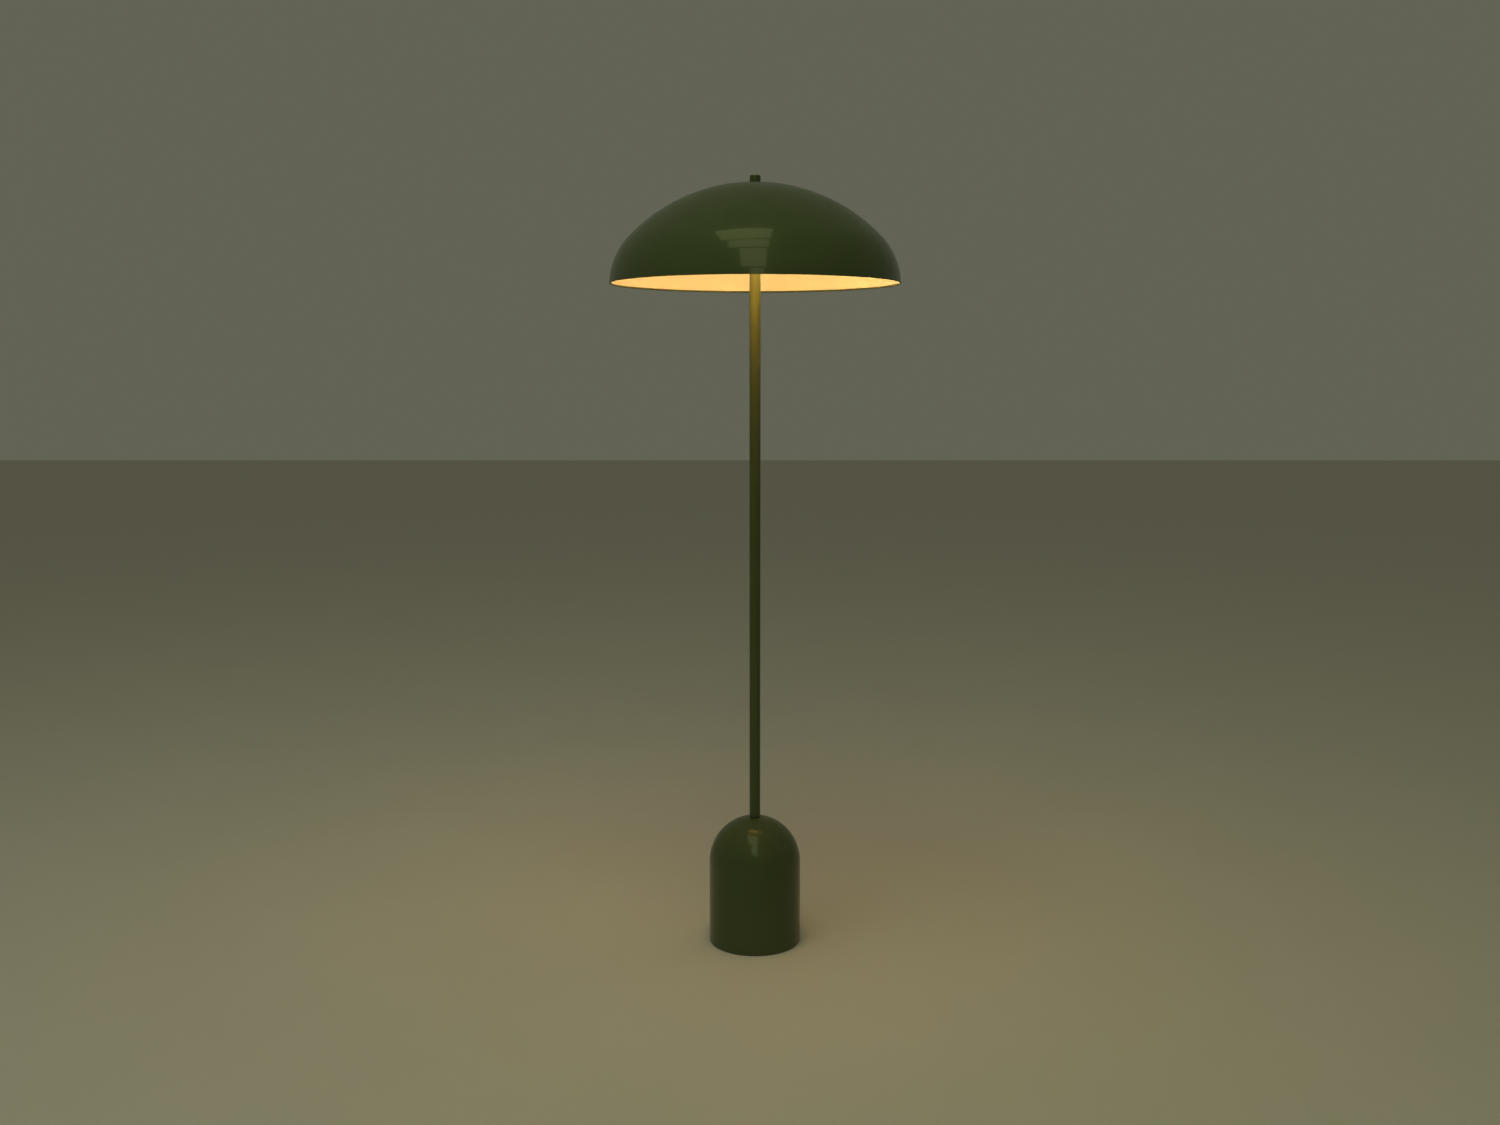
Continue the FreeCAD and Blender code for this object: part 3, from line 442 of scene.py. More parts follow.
@dataclass(frozen=True)
class Rubber:
    """Matt black rubber or foam with moulding grain, bloom and lint."""

    name: str
    grain: float = 1100.0
    depth: float = 0.00012

    def make(self) -> bpy.types.Material:
        """Build the rubber's grain, bloom and lint.

        Returns:
            The material.
        """
        shader = Shader(self.name)
        pores = shader.noise(self.grain, 3.0)
        bloom = shader.noise(35.0, 5.0).ramp(0.45, 0.8)
        lint = shader.noise(260.0, 2.0, (1.0, 0.12, 1.0)).ramp(0.70, 0.74)
        colour = shader.mix(bloom * 0.5 + pores * 0.2, (0.012, 0.012, 0.012), (0.05, 0.049, 0.046))
        colour = shader.mix(lint * 0.35, colour, (0.30, 0.28, 0.25))
        rough = 0.62 + bloom * 0.2 + lint * 0.1
        return shader.finish(base_color=colour, roughness=rough, normal=shader.bump(pores, self.depth))


@dataclass(frozen=True)
class Moulding:
    """Satin moulded plastic with a spark-eroded texture and rubbed patches."""

    name: str
    colour: Colour
    worn: Colour
    rough: float = 0.42

    def make(self) -> bpy.types.Material:
        """Build the plastic's texture, flow marks and rubbed patches.

        Returns:
            The material.
        """
        shader = Shader(self.name)
        texture = shader.noise(2200.0, 2.0)
        flow = shader.noise(60.0, 4.0, (1.0, 1.0, 0.35)).ramp(0.45, 0.75)
        rubbed = shader.noise(110.0, 5.0).ramp(0.60, 0.74)
        colour = shader.mix(flow * 0.3 + rubbed * 0.35, self.colour, self.worn)
        rough = self.rough + flow * 0.06 - rubbed * 0.12
        return shader.finish(base_color=colour, roughness=rough, normal=shader.bump(texture, 0.00004))


@dataclass(frozen=True)
class Porcelain:
    """Glazed white porcelain with pinholes and a grey tinge in the body."""

    name: str

    def make(self) -> bpy.types.Material:
        """Build the glaze with its pinholes and ripple.

        Returns:
            The material.
        """
        shader = Shader(self.name)
        holes = shader.noise(700.0, 2.0).ramp(0.72, 0.78)
        ripple = shader.noise(80.0, 2.0)
        colour = shader.mix(ripple * 0.4, (0.80, 0.79, 0.75), (0.70, 0.69, 0.66))
        colour = shader.mix(holes * 0.5, colour, (0.25, 0.22, 0.18))
        normal = shader.bump(ripple - holes * 0.3, 0.0002)
        return shader.finish(base_color=colour, roughness=0.14 + holes * 0.4, normal=normal, coat_weight=0.6)


@dataclass(frozen=True)
class BlackGlass:
    """The black glass of a bulb's insulator."""

    name: str

    def make(self) -> bpy.types.Material:
        """Build the glass with its flow lines.

        Returns:
            The material.
        """
        shader = Shader(self.name)
        flow = shader.noise(500.0, 3.0, (1.0, 1.0, 0.4))
        colour = shader.mix(flow, (0.006, 0.006, 0.007), (0.03, 0.03, 0.035))
        normal = shader.bump(flow, 0.0001)
        return shader.finish(base_color=colour, roughness=0.08 + flow * 0.08, normal=normal)


@dataclass(frozen=True)
class LitOpal:
    """Opal glass lit from within: brightest at its middle, warmer towards its neck."""

    name: str
    low: float
    high: float
    strength: float = 4.0

    def make(self) -> bpy.types.Material:
        """Build the glow and the glass's faint cloud.

        Returns:
            The material.
        """
        shader = Shader(self.name)
        _, _, height = shader.axes()
        rise = (height - self.low) / (self.high - self.low)
        neck = rise.ramp(0.55, 1.05)
        cloud = shader.noise(220.0, 3.0)
        glow = shader.mix(neck, (1.0, 0.82, 0.52), (0.80, 0.50, 0.24))
        glow = shader.mix(cloud * 0.12, glow, (1.0, 0.92, 0.72))
        base = shader.mix(cloud * 0.3, (0.86, 0.83, 0.76), (0.78, 0.74, 0.66))
        return shader.finish(
            base_color=base, roughness=0.16 + cloud * 0.1, normal=shader.bump(cloud, 0.00005),
            emission_color=glow, emission_strength=self.strength,
        )


@dataclass(frozen=True)
class StudioFloor:
    """A plain pale floor."""

    name: str
    colour: Colour = (0.70, 0.66, 0.59)

    def make(self) -> bpy.types.Material:
        """Build the floor with a very faint mottle.

        Returns:
            The material.
        """
        shader = Shader(self.name)
        mottle = shader.noise(3.0, 6.0)
        darker = tuple(part * 0.94 for part in self.colour)
        colour = shader.mix(mottle, darker, self.colour)
        normal = shader.bump(mottle, 0.0002)
        return shader.finish(base_color=colour, roughness=0.6 + mottle * 0.1, normal=normal)


# ---------------------------------------------------------------- meshes


SAME_PLACE = 1e-7  # metres: points nearer than this are one point
SKIN = 1e-6  # metres: how far under a wall a thread still counts as cutting it


@dataclass(frozen=True)
class Thread:
    """A rounded right-hand screw thread cut into the outer rows of an outline.

    Args:
        pitch: the rise of one turn, in metres.
        depth: how deep the thread is cut.
        low: where it starts.
        high: where it ends.
        skin: the smallest radius that it cuts.
    """

    pitch: float
    depth: float
    low: float
    high: float
    skin: float

    def __call__(self, angle: float, point: Point) -> float:
        """How much a point's radius changes at an angle."""
        radius, height = point
        if radius < self.skin:
            return 0.0
        inside = min(height - self.low, self.high - height) / self.pitch
        fade = max(0.0, min(1.0, 2.0 * inside))
        phase = 2.0 * math.pi * height / self.pitch - angle
        return -self.depth * fade * (0.5 - 0.5 * math.cos(phase))

    def rows(self, radius: float, rising: bool = True, finer: int = 14) -> list[Point]:
        """Outline points close enough together to carry the thread."""
        count = round(finer * (self.high - self.low) / self.pitch)
        heights = [self.low + (self.high - self.low) * step / count for step in range(count + 1)]
        return [(radius, height) for height in (heights if rising else reversed(heights))]


@dataclass(frozen=True)
class Ribs:
    """Upright grip ribs round the widest rows of an outline.

    Args:
        count: how many ribs go round.
        depth: how deep the valleys between them are, in metres.
        skin: the smallest radius that they cut.
    """

    count: int
    depth: float
    skin: float

    def __call__(self, angle: float, point: Point) -> float:
        """How much a point's radius changes at an angle."""
        if point[0] < self.skin:
            return 0.0
        return -self.depth * (0.5 - 0.5 * math.cos(self.count * angle)) ** 2


def lathe(name: str, outline: Sequence[Point], centre: Point = (0.0, 0.0), steps: int = 160,
          ripple: Optional[Callable[[float, Point], float]] = None) -> bpy.types.Object:
    """Turn a closed outline of (radius, height) points about an upright axis.

    Args:
        name: the new object's name.
        outline: the points, in metres; a radius of 0 makes a pole.
        centre: where the axis stands.
        steps: how many faces go round.
        ripple: what is added to a point's radius at an angle.

    Returns:
        The object, smooth but for its sharp edges.
    """
    mesh = bmesh.new()
    rows = []
    for last, point in zip([outline[-1], *outline[:-1]], outline):
        if math.dist(last, point) < SAME_PLACE:
            continue
        if point[0] < SAME_PLACE:
            rows.append([mesh.verts.new((*centre, point[1]))])
            continue
        row = []
        for step in range(steps):
            angle = 2.0 * math.pi * step / steps
            radius = point[0] + (ripple(angle, point) if ripple else 0.0)
            place = (centre[0] + radius * math.cos(angle), centre[1] + radius * math.sin(angle), point[1])
            row.append(mesh.verts.new(place))
        rows.append(row)
    for low, high in zip(rows, rows[1:] + rows[:1]):
        bridge(mesh, low, high, steps)
    bmesh.ops.recalc_face_normals(mesh, faces=mesh.faces)
    return solid(name, mesh)


def bridge(mesh: bmesh.types.BMesh, low: list, high: list, steps: int) -> None:
    """Join two rings, or a ring and a pole, with faces."""
    if len(low) == 1 and len(high) == 1:
        return
    for step in range(steps):
        after = (step + 1) % steps
        if len(low) == 1:
            mesh.faces.new((low[0], high[step], high[after]))
        elif len(high) == 1:
            mesh.faces.new((low[step], low[after], high[0]))
        else:
            mesh.faces.new((low[step], low[after], high[after], high[step]))


def solid(name: str, mesh: bmesh.types.BMesh, crease: float = 35.0) -> bpy.types.Object:
    """Make an object of a mesh, smooth but for its sharp edges.

    Args:
        name: the new object's name.
        mesh: the mesh, which is freed.
        crease: edges turning more than this many degrees stay sharp.

    Returns:
        The object.
    """
    for edge in mesh.edges:
        if len(edge.link_faces) == 2:
            edge.smooth = edge.calc_face_angle(0.0) < math.radians(crease)
    data = bpy.data.meshes.new(name)
    mesh.to_mesh(data)
    mesh.free()
    data.shade_smooth()
    item = bpy.data.objects.new(name, data)
    bpy.context.scene.collection.objects.link(item)
    return item


def arc(centre: Point, radius: float, start: float, end: float, count: int) -> list[Point]:
    """Points along an arc of an outline.

    Args:
        centre: the arc's centre.
        radius: its radius.
        start: the first angle, in degrees.
        end: the last angle, in degrees.
        count: how many points, both ends included.

    Returns:
        The points.
    """
    angles = (math.radians(start + (end - start) * step / (count - 1)) for step in range(count))
    return [(centre[0] + radius * math.cos(a), centre[1] + radius * math.sin(a)) for a in angles]


def fit(item: bpy.types.Object, body: str, slot: str, material: bpy.types.Material, *nodes: str) -> None:
    """Put a new piece on its body, in place of any nodes that it stands for.

    Args:
        item: the piece.
        body: the body that it rides on.
        slot: not used.
        material: its material.
        nodes: the frame's nodes that it replaces.
    """
    dress(item, material)
    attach(item, body)
    if nodes:
        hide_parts(*nodes)
    log.info("%s on %s, %d faces", item.name, body, len(item.data.polygons))


def dress(item: bpy.types.Object, material: bpy.types.Material) -> None:
    """Give an object one material all over."""
    item.data.materials.clear()
    item.data.materials.append(material)


def dress_nodes(names: Sequence[str], material: bpy.types.Material) -> None:
    """Give several of the frame's nodes one material."""
    for name in names:
        dress(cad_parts[name], material)


def middle(node: str) -> Point:
    """The middle of a node's box, seen from above."""
    low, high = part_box(node)
    return ((low[0] + high[0]) / 2, (low[1] + high[1]) / 2)


def width(node: str) -> float:
    """A node's width along X."""
    low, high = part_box(node)
    return high[0] - low[0]


def bottom(node: str) -> float:
    """A node's lowest height."""
    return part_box(node)[0][2]


def top(node: str) -> float:
    """A node's highest height."""
    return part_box(node)[1][2]


# ---------------------------------------------------------------- sub-assemblies


@dataclass
class Base:
    """The bullet-shaped cover, its weight, plate, pad and fastenings."""

    edge: float = field(default_factory=lambda: bottom("base_shell"))
    gland_grip: float = 0.0025
    gland_bore: float = 0.0035
    gland_barrel_share: float = 12.0 / 17.0
    gland_round: float = 0.001
    gland_foot_edge: float = 0.0005
    gland_mouth_edge: float = 0.0006
    gland_mouth_depth: float = 0.0012
    gland_ribs: int = 24
    gland_rib_depth: float = 0.0006
    seal_proud: float = 0.0008
    seal_clearance: float = 0.0001
    seal_back: float = 0.004
    seal_front: float = 0.0014

    def build(self) -> None:
        """Dress the base's nodes."""
        enamel = GreenEnamel("base_green_enamel", Grain.PRESSED, (self.edge,)).make()
        dress_nodes(["base_shell"], enamel)
        dress_nodes(["base_weight"], CastIron("base_cast_iron").make())
        dress_nodes(["foot_pad"], Rubber("foot_pad_foam", 700.0, 0.0003).make())
        screws = [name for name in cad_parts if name.startswith("base_plate_screw")]
        zinc = BareMetal("base_zinc", (0.55, 0.56, 0.56), (0.40, 0.38, 0.30)).make()
        dress_nodes(["base_plate", "base_stem", "stem_nut", "stem_washer"], zinc)
        dress_nodes(["spacer_tube", "dome_washer"], zinc)
        dress_nodes(screws, zinc)
        plastic = Moulding("base_black_plastic", (0.014, 0.014, 0.015), (0.04, 0.04, 0.04)).make()
        dress_nodes(["gland_nut"], plastic)
        self.gland(plastic)
        white = Moulding("terminal_white", (0.72, 0.71, 0.67), (0.6, 0.58, 0.5)).make()
        dress_nodes(["terminal_block"], white)
        brass = BareMetal("terminal_brass", (0.70, 0.48, 0.18), (0.35, 0.22, 0.08), 0.22).make()
        dress_nodes([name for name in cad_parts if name.startswith("terminal_screw")], brass)
        dress_nodes(["earth_screw"], brass)
        dress_nodes(["inner_lead"], Rubber("lead_sheath", 1500.0, 0.00005).make())
        log.info("base dressed, its edge %.1f mm off the floor", self.edge * 1000)


    def gland(self, plastic: bpy.types.Material) -> None:
        """Turn the cable gland with a ribbed grip, and the rubber seal in its mouth.

        Args:
            plastic: the gland's material.
        """
        low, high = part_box("cable_gland")
        length = high[1] - low[1]
        flange = (high[0] - low[0]) / 2
        grip = length - self.gland_grip
        bore = self.gland_bore
        barrel = flange * self.gland_barrel_share
        curve = self.gland_round
        foot_edge = self.gland_foot_edge
        mouth_edge = self.gland_mouth_edge
        shoulder = length - foot_edge
        outline = [(bore, 0.0), (barrel - foot_edge, 0.0), (barrel, foot_edge), (barrel, grip)]
        outline += [(flange, grip)] + arc((flange - curve, length - curve), curve, 0.0, 90.0, 6)
        outline += [(barrel, length), (barrel - mouth_edge, shoulder), (bore + mouth_edge, shoulder)]
        outline += [(bore, length - self.gland_mouth_depth)]
        ribs = Ribs(self.gland_ribs, self.gland_rib_depth, flange - curve - 0.0001)
        body = lathe("cable_gland_ribbed", outline, steps=288, ripple=ribs)
        wall = bore - self.seal_clearance
        proud = bore - self.seal_proud
        back = length - self.seal_back
        seal = lathe("cable_gland_seal", [
            (proud, back), (wall, back), (wall, length - self.seal_front),
            (bore - self.seal_proud / 2, length - 0.0009), (proud, length - self.gland_mouth_depth),
        ], steps=96)
        for item in (body, seal):
            item.data.transform(self.outward(low, high))
            item.data.update()
        fit(body, "stand", "black_plastic", plastic, "cable_gland")
        fit(seal, "stand", "black_rubber", Rubber("gland_seal_rubber").make())

    @staticmethod
    def outward(low: Sequence[float], high: Sequence[float]) -> Matrix:
        """The transform that lays an upright gland along +Y, with its foot at the box's front."""
        place = Vector(((low[0] + high[0]) / 2, low[1], (low[2] + high[2]) / 2))
        return Matrix.Translation(place) @ Matrix.Rotation(math.radians(-90.0), 4, "X")


@dataclass
class Column:
    """Two lengths of tube, the gasket under them and the threaded pieces inside."""

    groove: float = 0.0004

    def build(self) -> None:
        """Dress the column and add the dark ring in its joint."""
        seam = bottom("upper_column")
        enamel = GreenEnamel("column_green_enamel", Grain.DRAWN, (seam, bottom("lower_column"))).make()
        dress_nodes(["lower_column", "upper_column"], enamel)
        dress_nodes(["column_gasket"], Rubber("column_gasket_rubber").make())
        inner = [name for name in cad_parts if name.endswith("_insert") and "column" in name]
        zinc = BareMetal("column_zinc", (0.55, 0.56, 0.56), (0.40, 0.38, 0.30)).make()
        dress_nodes(inner + ["column_joint_nipple", "cluster_nipple", "shade_stem"], zinc)
        self.joint_ring(seam)
        log.info("column dressed, its joint %.0f mm up", seam * 1000)


    def joint_ring(self, seam: float) -> None:
        """Lay the thin dark ring in the groove where the two tubes meet.

        Args:
            seam: the groove's height.
        """
        root = width("upper_column") / 2 - self.groove
        half = self.groove / 2
        outline = [(root, seam), (root + half, seam + half)]
        outline += arc((root + half * 0.8, seam), half * 0.75, 60.0, -60.0, 7) + [(root + half, seam - half)]
        ring = lathe("column_joint_ring", outline, steps=192)
        fit(ring, "stand", "black_rubber", Rubber("column_ring_rubber").make())


@dataclass
class Cluster:
    """The drum at the column's head, the side arm and the lampholder."""

    skirt_pitch: float = 0.0025
    skirt_thread: float = 0.0006
    skirt_bore: float = 0.0156
    ring_edge: float = 0.0008
    skirt_edge: float = 0.0004
    thread_start: float = 0.001
    thread_stop: float = 0.005
    ring_clearance: float = 0.00005
    ring_ribs: int = 60
    ring_rib_depth: float = 0.0006
    shell_wall: float = 0.0004
    shell_relief: float = 0.0001
    shell_margin: float = 0.0002
    cap_pitch: float = 0.003629
    cap_thread: float = 0.0011

    def build(self) -> None:
        """Dress the cluster, the arm and the lampholder."""
        enamel = GreenEnamel("cluster_green_enamel", Grain.PRESSED, (bottom("cluster_body"),)).make()
        dress_nodes(["cluster_body", "cluster_cap", "lamp_arm", "arm_collar", "shade_seat"], enamel)
        black = Moulding("lampholder_black", (0.014, 0.014, 0.015), (0.04, 0.04, 0.04), 0.38).make()
        dress_nodes(["lampholder_cap"], black)
        dress_nodes(["lampholder_insert"], Porcelain("lampholder_porcelain").make())
        brass = BareMetal("lampholder_brass", (0.70, 0.48, 0.18), (0.35, 0.22, 0.08), 0.22).make()
        dress_nodes(["lampholder_tongue", "lampholder_terminal_1", "lampholder_terminal_2"], brass)
        self.skirt(black)
        self.ring(black)
        self.screw_shell(brass)
        log.info("cluster and lampholder dressed")

    def skirt(self, black: bpy.types.Material) -> None:
        """Turn the lampholder's skirt, threaded outside for its ring."""
        foot = bottom("lampholder_skirt")
        head = top("lampholder_skirt")
        radius = width("lampholder_skirt") / 2
        low, high = foot + self.thread_start, head - self.thread_stop
        thread = Thread(self.skirt_pitch, self.skirt_thread, low, high, radius - SKIN)
        outline = [(self.skirt_bore, foot), (radius - self.ring_edge, foot)] + thread.rows(radius)
        outline += [(radius, head - self.skirt_edge), (radius - self.skirt_edge, head)]
        outline += [(self.skirt_bore, head)]
        item = lathe("lampholder_skirt_threaded", outline, middle("lampholder_skirt"), 144, thread)
        fit(item, "stand", "black_plastic", black, "lampholder_skirt")

    def ring(self, black: bpy.types.Material) -> None:
        """Turn the lampholder's ring, ribbed for the fingers."""
        foot = bottom("lampholder_ring")
        head = top("lampholder_ring")
        radius = width("lampholder_ring") / 2
        bore = width("lampholder_skirt") / 2 + self.ring_clearance
        edge = self.ring_edge
        outline = [(bore, foot), (radius - edge, foot)]
        outline += arc((radius - edge, foot + edge), edge, -90.0, 0.0, 6)
        outline += arc((radius - edge, head - edge), edge, 0.0, 90.0, 6) + [(bore, head)]
        ribs = Ribs(self.ring_ribs, self.ring_rib_depth, radius - edge * 0.6)
        item = lathe("lampholder_ring_ribbed", outline, middle("lampholder_ring"), 480, ribs)
        fit(item, "stand", "black_plastic", black, "lampholder_ring")

    def screw_shell(self, brass: bpy.types.Material) -> None:
        """Roll the lampholder's brass screw shell, whose thread follows the bulb cap's."""
        foot = bottom("lampholder_thread_shell")
        head = top("lampholder_thread_shell")
        outer = width("lampholder_thread_shell") / 2
        inner = outer - self.shell_wall
        depth = self.cap_thread - self.shell_relief
        low, high = foot + self.shell_margin, head - self.shell_margin
        thread = Thread(self.cap_pitch, depth, low, high, inner - SKIN)
        outline = thread.rows(outer) + thread.rows(inner, rising=False)
        item = lathe("lampholder_screw_shell", outline, middle("lampholder_thread_shell"), 144, thread)
        fit(item, "stand", "brass", brass, "lampholder_thread_shell")


@dataclass
class Bulb:
    """The opal globe, its neck, screw cap, insulator and contact."""

    power: float = 0.63
    colour: Colour = (1.0, 0.66, 0.18)
    return_power: float = 1.14
    return_colour: Colour = (1.0, 0.455, 0.15)
    return_bearing: float = -94.0
    return_reach: float = 0.115
    return_rise: float = 0.060
    return_size: Point = (0.18, 0.06)
    cap_pitch: float = 0.003629
    cap_thread: float = 0.0011
    cap_wall: float = 0.0004
    cap_shoulder: float = 0.0015
    globe_wall: float = 0.001

    def build(self) -> None:
        """Dress the bulb and light it."""
        low = bottom("bulb_globe")
        high = top("bulb_globe")
        self.globe(low, high, LitOpal("bulb_opal", low, high).make())
        neck = Moulding("bulb_neck_white", (0.75, 0.74, 0.70), (0.6, 0.55, 0.45)).make()
        dress_nodes(["bulb_collar"], neck)
        self.screw_cap(BareMetal("bulb_nickel", (0.66, 0.65, 0.61), (0.45, 0.40, 0.30), 0.2).make())
        dress_nodes(["bulb_insulator"], BlackGlass("bulb_black_glass").make())
        solder = BareMetal("bulb_contact_solder", (0.6, 0.6, 0.6), (0.4, 0.4, 0.4)).make()
        dress_nodes(["bulb_contact"], solder)
        self.light(low)
        self.thrown_back()
        log.info("bulb lit at %.0f mm", low * 1000)

    def globe(self, low: float, high: float, opal: bpy.types.Material) -> None:
        """Blow the globe: an open ball with an even wall and a round mouth in the collar.

        Args:
            low: the height of its lowest point.
            high: the height of its mouth.
            opal: its material.
        """
        outer = width("bulb_globe") / 2
        inner = outer - self.globe_wall
        centre = (0.0, low + outer)
        edge = math.degrees(math.asin((high - centre[1]) / outer))
        mouth = outer * math.cos(math.radians(edge))
        inner_edge = math.degrees(math.acos(mouth / inner))
        outline = arc(centre, outer, -90.0, edge, 64) + arc(centre, inner, inner_edge, -90.0, 64)
        item = lathe("bulb_globe_blown", outline, middle("bulb_globe"), 128)
        fit(item, "bulb", "opal_glass", opal, "bulb_globe")

    def screw_cap(self, nickel: bpy.types.Material) -> None:
        """Roll the bulb's screw cap with its thread, drawn in over the insulator at its top.

        Args:
            nickel: the cap's material.
        """
        foot = bottom("bulb_cap")
        head = top("bulb_cap")
        outer = width("bulb_cap") / 2
        inner = outer - self.cap_wall
        mouth = width("bulb_insulator") / 2 + 0.0001
        shoulder = self.cap_shoulder
        thread = Thread(self.cap_pitch, self.cap_thread, foot + 0.001, head - shoulder, inner - SKIN)
        outline = [(outer, foot)] + thread.rows(outer)
        outline += arc((outer - shoulder, head - shoulder), shoulder, 10.0, 90.0, 7) + [(mouth, head)]
        outline += [(mouth, head - self.cap_wall), (outer - shoulder, head - self.cap_wall)]
        outline += thread.rows(inner, rising=False) + [(inner, foot)]
        item = lathe("bulb_cap_threaded", outline, middle("bulb_cap"), 144, thread)
        fit(item, "bulb", "nickel", nickel, "bulb_cap")

    def light(self, low: float) -> None:
        """Put the bulb's light at the middle of its globe."""
        radius = width("bulb_globe") / 2
        lamp = bpy.data.lights.new("bulb_light", "POINT")
        lamp.energy = self.power
        lamp.color = self.colour
        lamp.shadow_soft_size = radius + 0.001
        lamp.use_soft_falloff = False
        item = bpy.data.objects.new("bulb_light", lamp)
        item.location = (*middle("bulb_globe"), low + radius)
        item.visible_camera = False
        item.visible_glossy = False
        bpy.context.scene.collection.objects.link(item)


    def thrown_back(self) -> None:
        """Add the broad warm light that the front of the white dome throws back at the column."""
        data = bpy.data.lights.new("dome_return", "AREA")
        data.shape = "RECTANGLE"
        data.size, data.size_y = self.return_size
        data.energy = self.return_power
        data.color = self.return_colour
        bearing = math.radians(self.return_bearing)
        height = bottom("shade_shell") + self.return_rise
        place = Vector((self.return_reach * math.cos(bearing), self.return_reach * math.sin(bearing), height))
        item = bpy.data.objects.new("dome_return", data)
        item.location = place
        aim = Vector((0.0, 0.0, height - self.return_reach))
        item.rotation_euler = (aim - place).to_track_quat("-Z", "Y").to_euler()
        item.visible_camera = False
        item.visible_glossy = False
        bpy.context.scene.collection.objects.link(item)


@dataclass
class Shade:
    """The spun dome, its white coat, and the knob and washer that hold it down."""

    knob_edge: float = 0.0014
    knob_lip: float = 0.0004
    knob_bore: float = 0.00505
    knob_socket: float = 0.0085

    def build(self) -> None:
        """Dress the shade and its fixing."""
        rim = bottom("shade_shell")
        dress_nodes(["shade_shell"], GreenEnamel("shade_green_enamel", Grain.SPUN, (rim,)).make())
        dress_nodes(["shade_white_lining"], WhiteEnamel("shade_white_enamel", middle("bulb_globe")).make())
        dress_nodes(["shade_gasket"], Rubber("shade_gasket_rubber").make())
        enamel = GreenEnamel("finial_green_enamel", Grain.PRESSED, (top("finial_knob"),)).make()
        dress_nodes(["finial_washer"], enamel)
        self.knob(enamel)
        log.info("shade dressed, its rim %.0f mm up", rim * 1000)


    def knob(self, enamel: bpy.types.Material) -> None:
        """Turn the round knob, with a soft edge at its top and a socket for the stem.

        Args:
            enamel: the knob's material.
        """
        foot = bottom("finial_knob")
        head = top("finial_knob")
        radius = width("finial_knob") / 2
        edge = self.knob_edge
        lip = self.knob_lip
        outline = [(self.knob_bore, foot), (radius - lip, foot)]
        outline += arc((radius - lip, foot + lip), lip, -90.0, 0.0, 5)
        outline += arc((radius - edge, head - edge), edge, 0.0, 90.0, 10)
        outline += [(radius * 0.5, head), (0.0, head), (0.0, foot + self.knob_socket)]
        outline += [(self.knob_bore, foot + self.knob_socket)]
        item = lathe("finial_knob_turned", outline, middle("finial_knob"), 128)
        fit(item, "finial", "green_enamel", enamel, "finial_knob")


# ---------------------------------------------------------------- studio


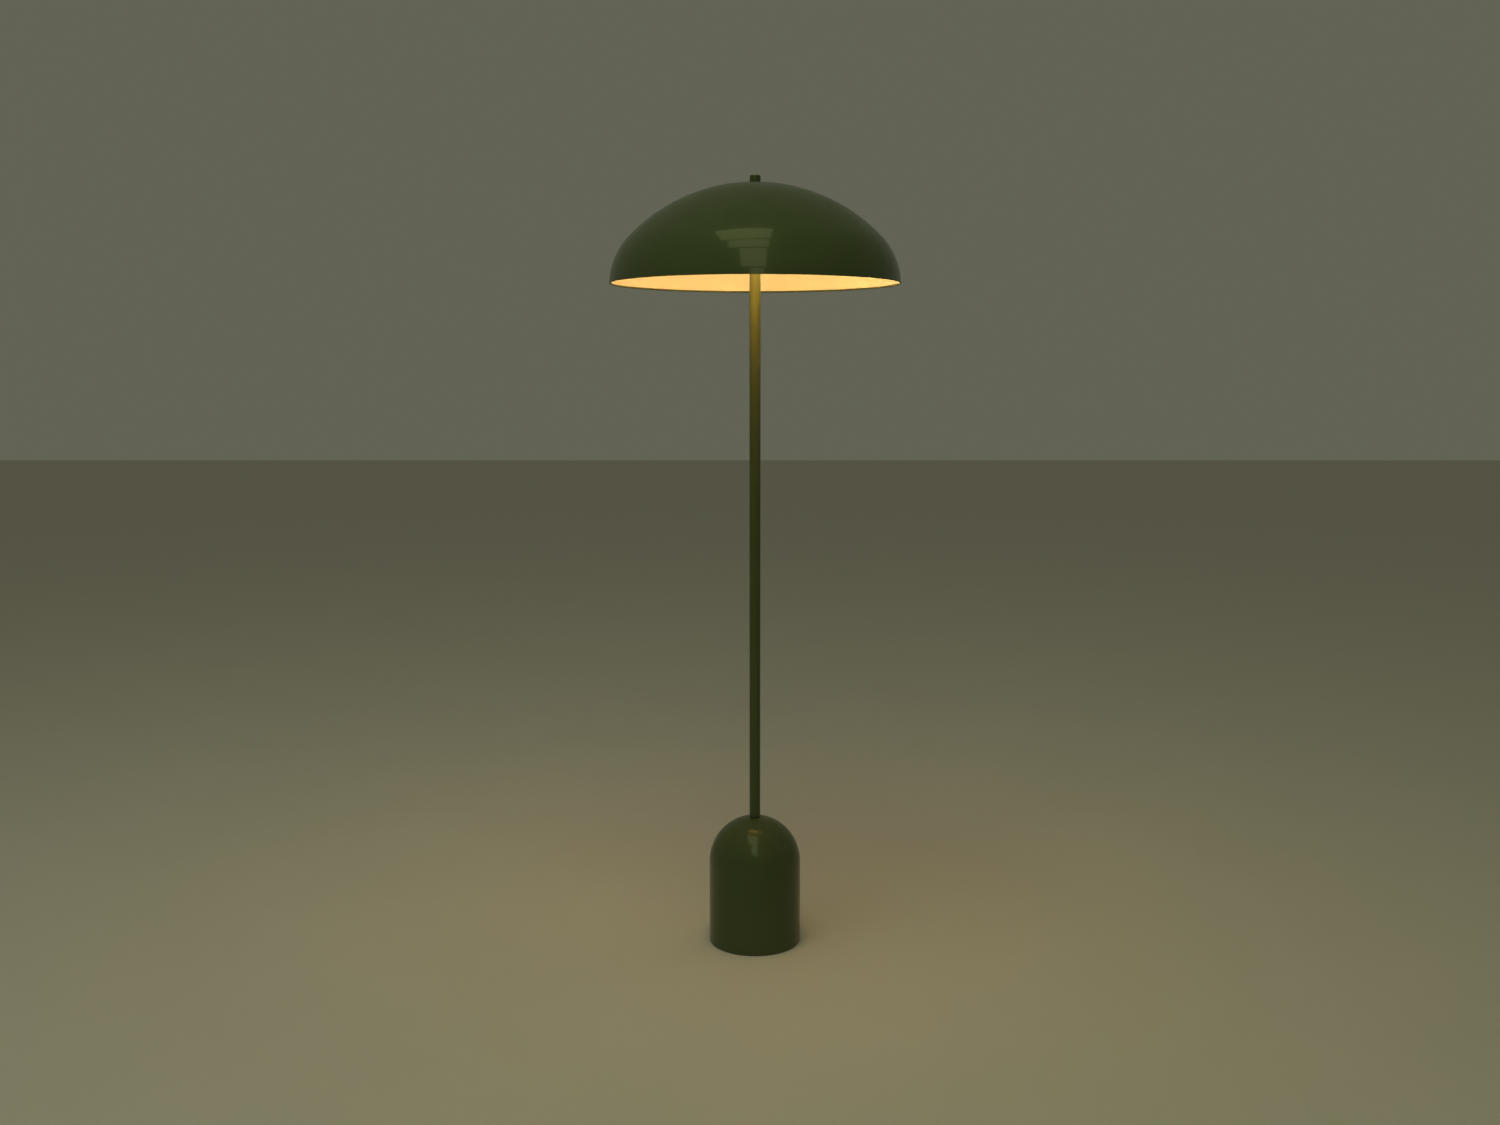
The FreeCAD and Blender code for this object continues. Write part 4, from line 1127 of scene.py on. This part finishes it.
@dataclass
class Studio:
    """The camera, the floor and the soft lights."""

    lens: float = 34.29
    distance: float = 2.497
    height: float = 1.017
    side: float = -0.0087
    pitch: float = 7.42
    floor_size: float = 30.0
    sky: Colour = (0.39, 0.40, 0.29)
    sky_strength: float = 0.315
    window: Colour = (0.88, 1.0, 0.45)
    window_glow: float = 1.4

    def build(self) -> None:
        """Set up the camera, the floor and the lights."""
        self.camera()
        self.floor()
        self.world()
        self.softbox("overhead", (-1.0, -0.8, 3.6), (0.0, 0.0, 1.0), (2.4, 2.4), 5.0, False)
        self.softbox("fill_left", (-2.6, -2.4, 2.2), (0.0, 0.0, 0.9), (2.0, 2.0), 7.5, False)
        panes = ((11.0, 17.0, -0.07, 0.11), (18.5, 47.0, -0.18, 0.135), (48.5, 61.0, -0.30, 0.15),
                 (62.5, 82.0, -0.37, 0.155))
        for number, pane in enumerate(panes, start=1):
            self.window_pane(number, *pane)
        bpy.context.scene.view_settings.view_transform = "Standard"

    def camera(self) -> None:
        """Stand the camera in front of the lamp, at chest height, tipped down a little."""
        data = bpy.data.cameras.new("camera")
        data.lens = self.lens
        data.sensor_width = 36.0
        item = bpy.data.objects.new("camera", data)
        item.location = (self.side, -self.distance, self.height)
        item.rotation_euler = (math.radians(90.0 - self.pitch), 0.0, 0.0)
        bpy.context.scene.collection.objects.link(item)
        bpy.context.scene.camera = item

    def floor(self) -> None:
        """Lay the floor at the lamp's foot."""
        mesh = bmesh.new()
        bmesh.ops.create_grid(mesh, x_segments=4, y_segments=4, size=self.floor_size / 2)
        item = solid("studio_floor", mesh)
        item.location.z = CAD_BOX[0][2]
        dress(item, StudioFloor("studio_floor_pale").make())

    def world(self) -> None:
        """Fill the room with soft, even light."""
        world = bpy.data.worlds.new("studio")
        world.use_nodes = True
        background = world.node_tree.nodes["Background"]
        background.inputs["Color"].default_value = (*self.sky, 1.0)
        background.inputs["Strength"].default_value = self.sky_strength
        bpy.context.scene.world = world

    def softbox(self, name: str, place: Sequence[float], aim: Sequence[float], size: Point,
                power: float, mirrored: bool = True) -> bpy.types.Object:
        """Add a rectangular soft light.

        Args:
            name: the light's name.
            place: where it stands.
            aim: the point it faces.
            size: its width and height.
            power: its power, in watts.
            mirrored: whether gloss reflects it.

        Returns:
            The light.
        """
        data = bpy.data.lights.new(name, "AREA")
        data.shape = "RECTANGLE"
        data.size, data.size_y = size
        data.energy = power
        item = bpy.data.objects.new(name, data)
        item.location = place
        item.rotation_euler = (Vector(aim) - Vector(place)).to_track_quat("-Z", "Y").to_euler()
        item.visible_glossy = mirrored
        bpy.context.scene.collection.objects.link(item)
        return item

    def window_pane(self, number: int, low: float, high: float, left: float, right: float) -> None:
        """Add one pane of the tall barred window light in front, on an arc about the shade.

        Args:
            number: which pane, from the bottom.
            low: how high its lower edge stands over the rim, in degrees.
            high: how high its upper edge stands over the rim, in degrees.
            left: its left edge, as a share of the arc's radius.
            right: its right edge, as a share of the arc's radius.
        """
        reach = 3.0
        angle = math.radians((low + high) / 2)
        size = (reach * (right - left), 2 * reach * math.sin(math.radians(high - low) / 2))
        rim = bottom("shade_shell")
        side = reach * (left + right) / 2
        place = (side, -reach * math.cos(angle), rim + reach * math.sin(angle))
        power = self.window_glow * math.pi * size[0] * size[1]
        pane = self.softbox(f"window_pane_{number}", place, (side, 0.0, rim), size, power)
        pane.data.color = self.window


def main() -> None:
    """Build the lamp and the studio round it."""
    logging.basicConfig(level=logging.INFO, format="%(name)s: %(message)s")
    for assembly in (Base(), Column(), Cluster(), Bulb(), Shade(), Studio()):
        assembly.build()
        log.info("%s done", type(assembly).__name__)


if __name__ == "__main__":
    main()
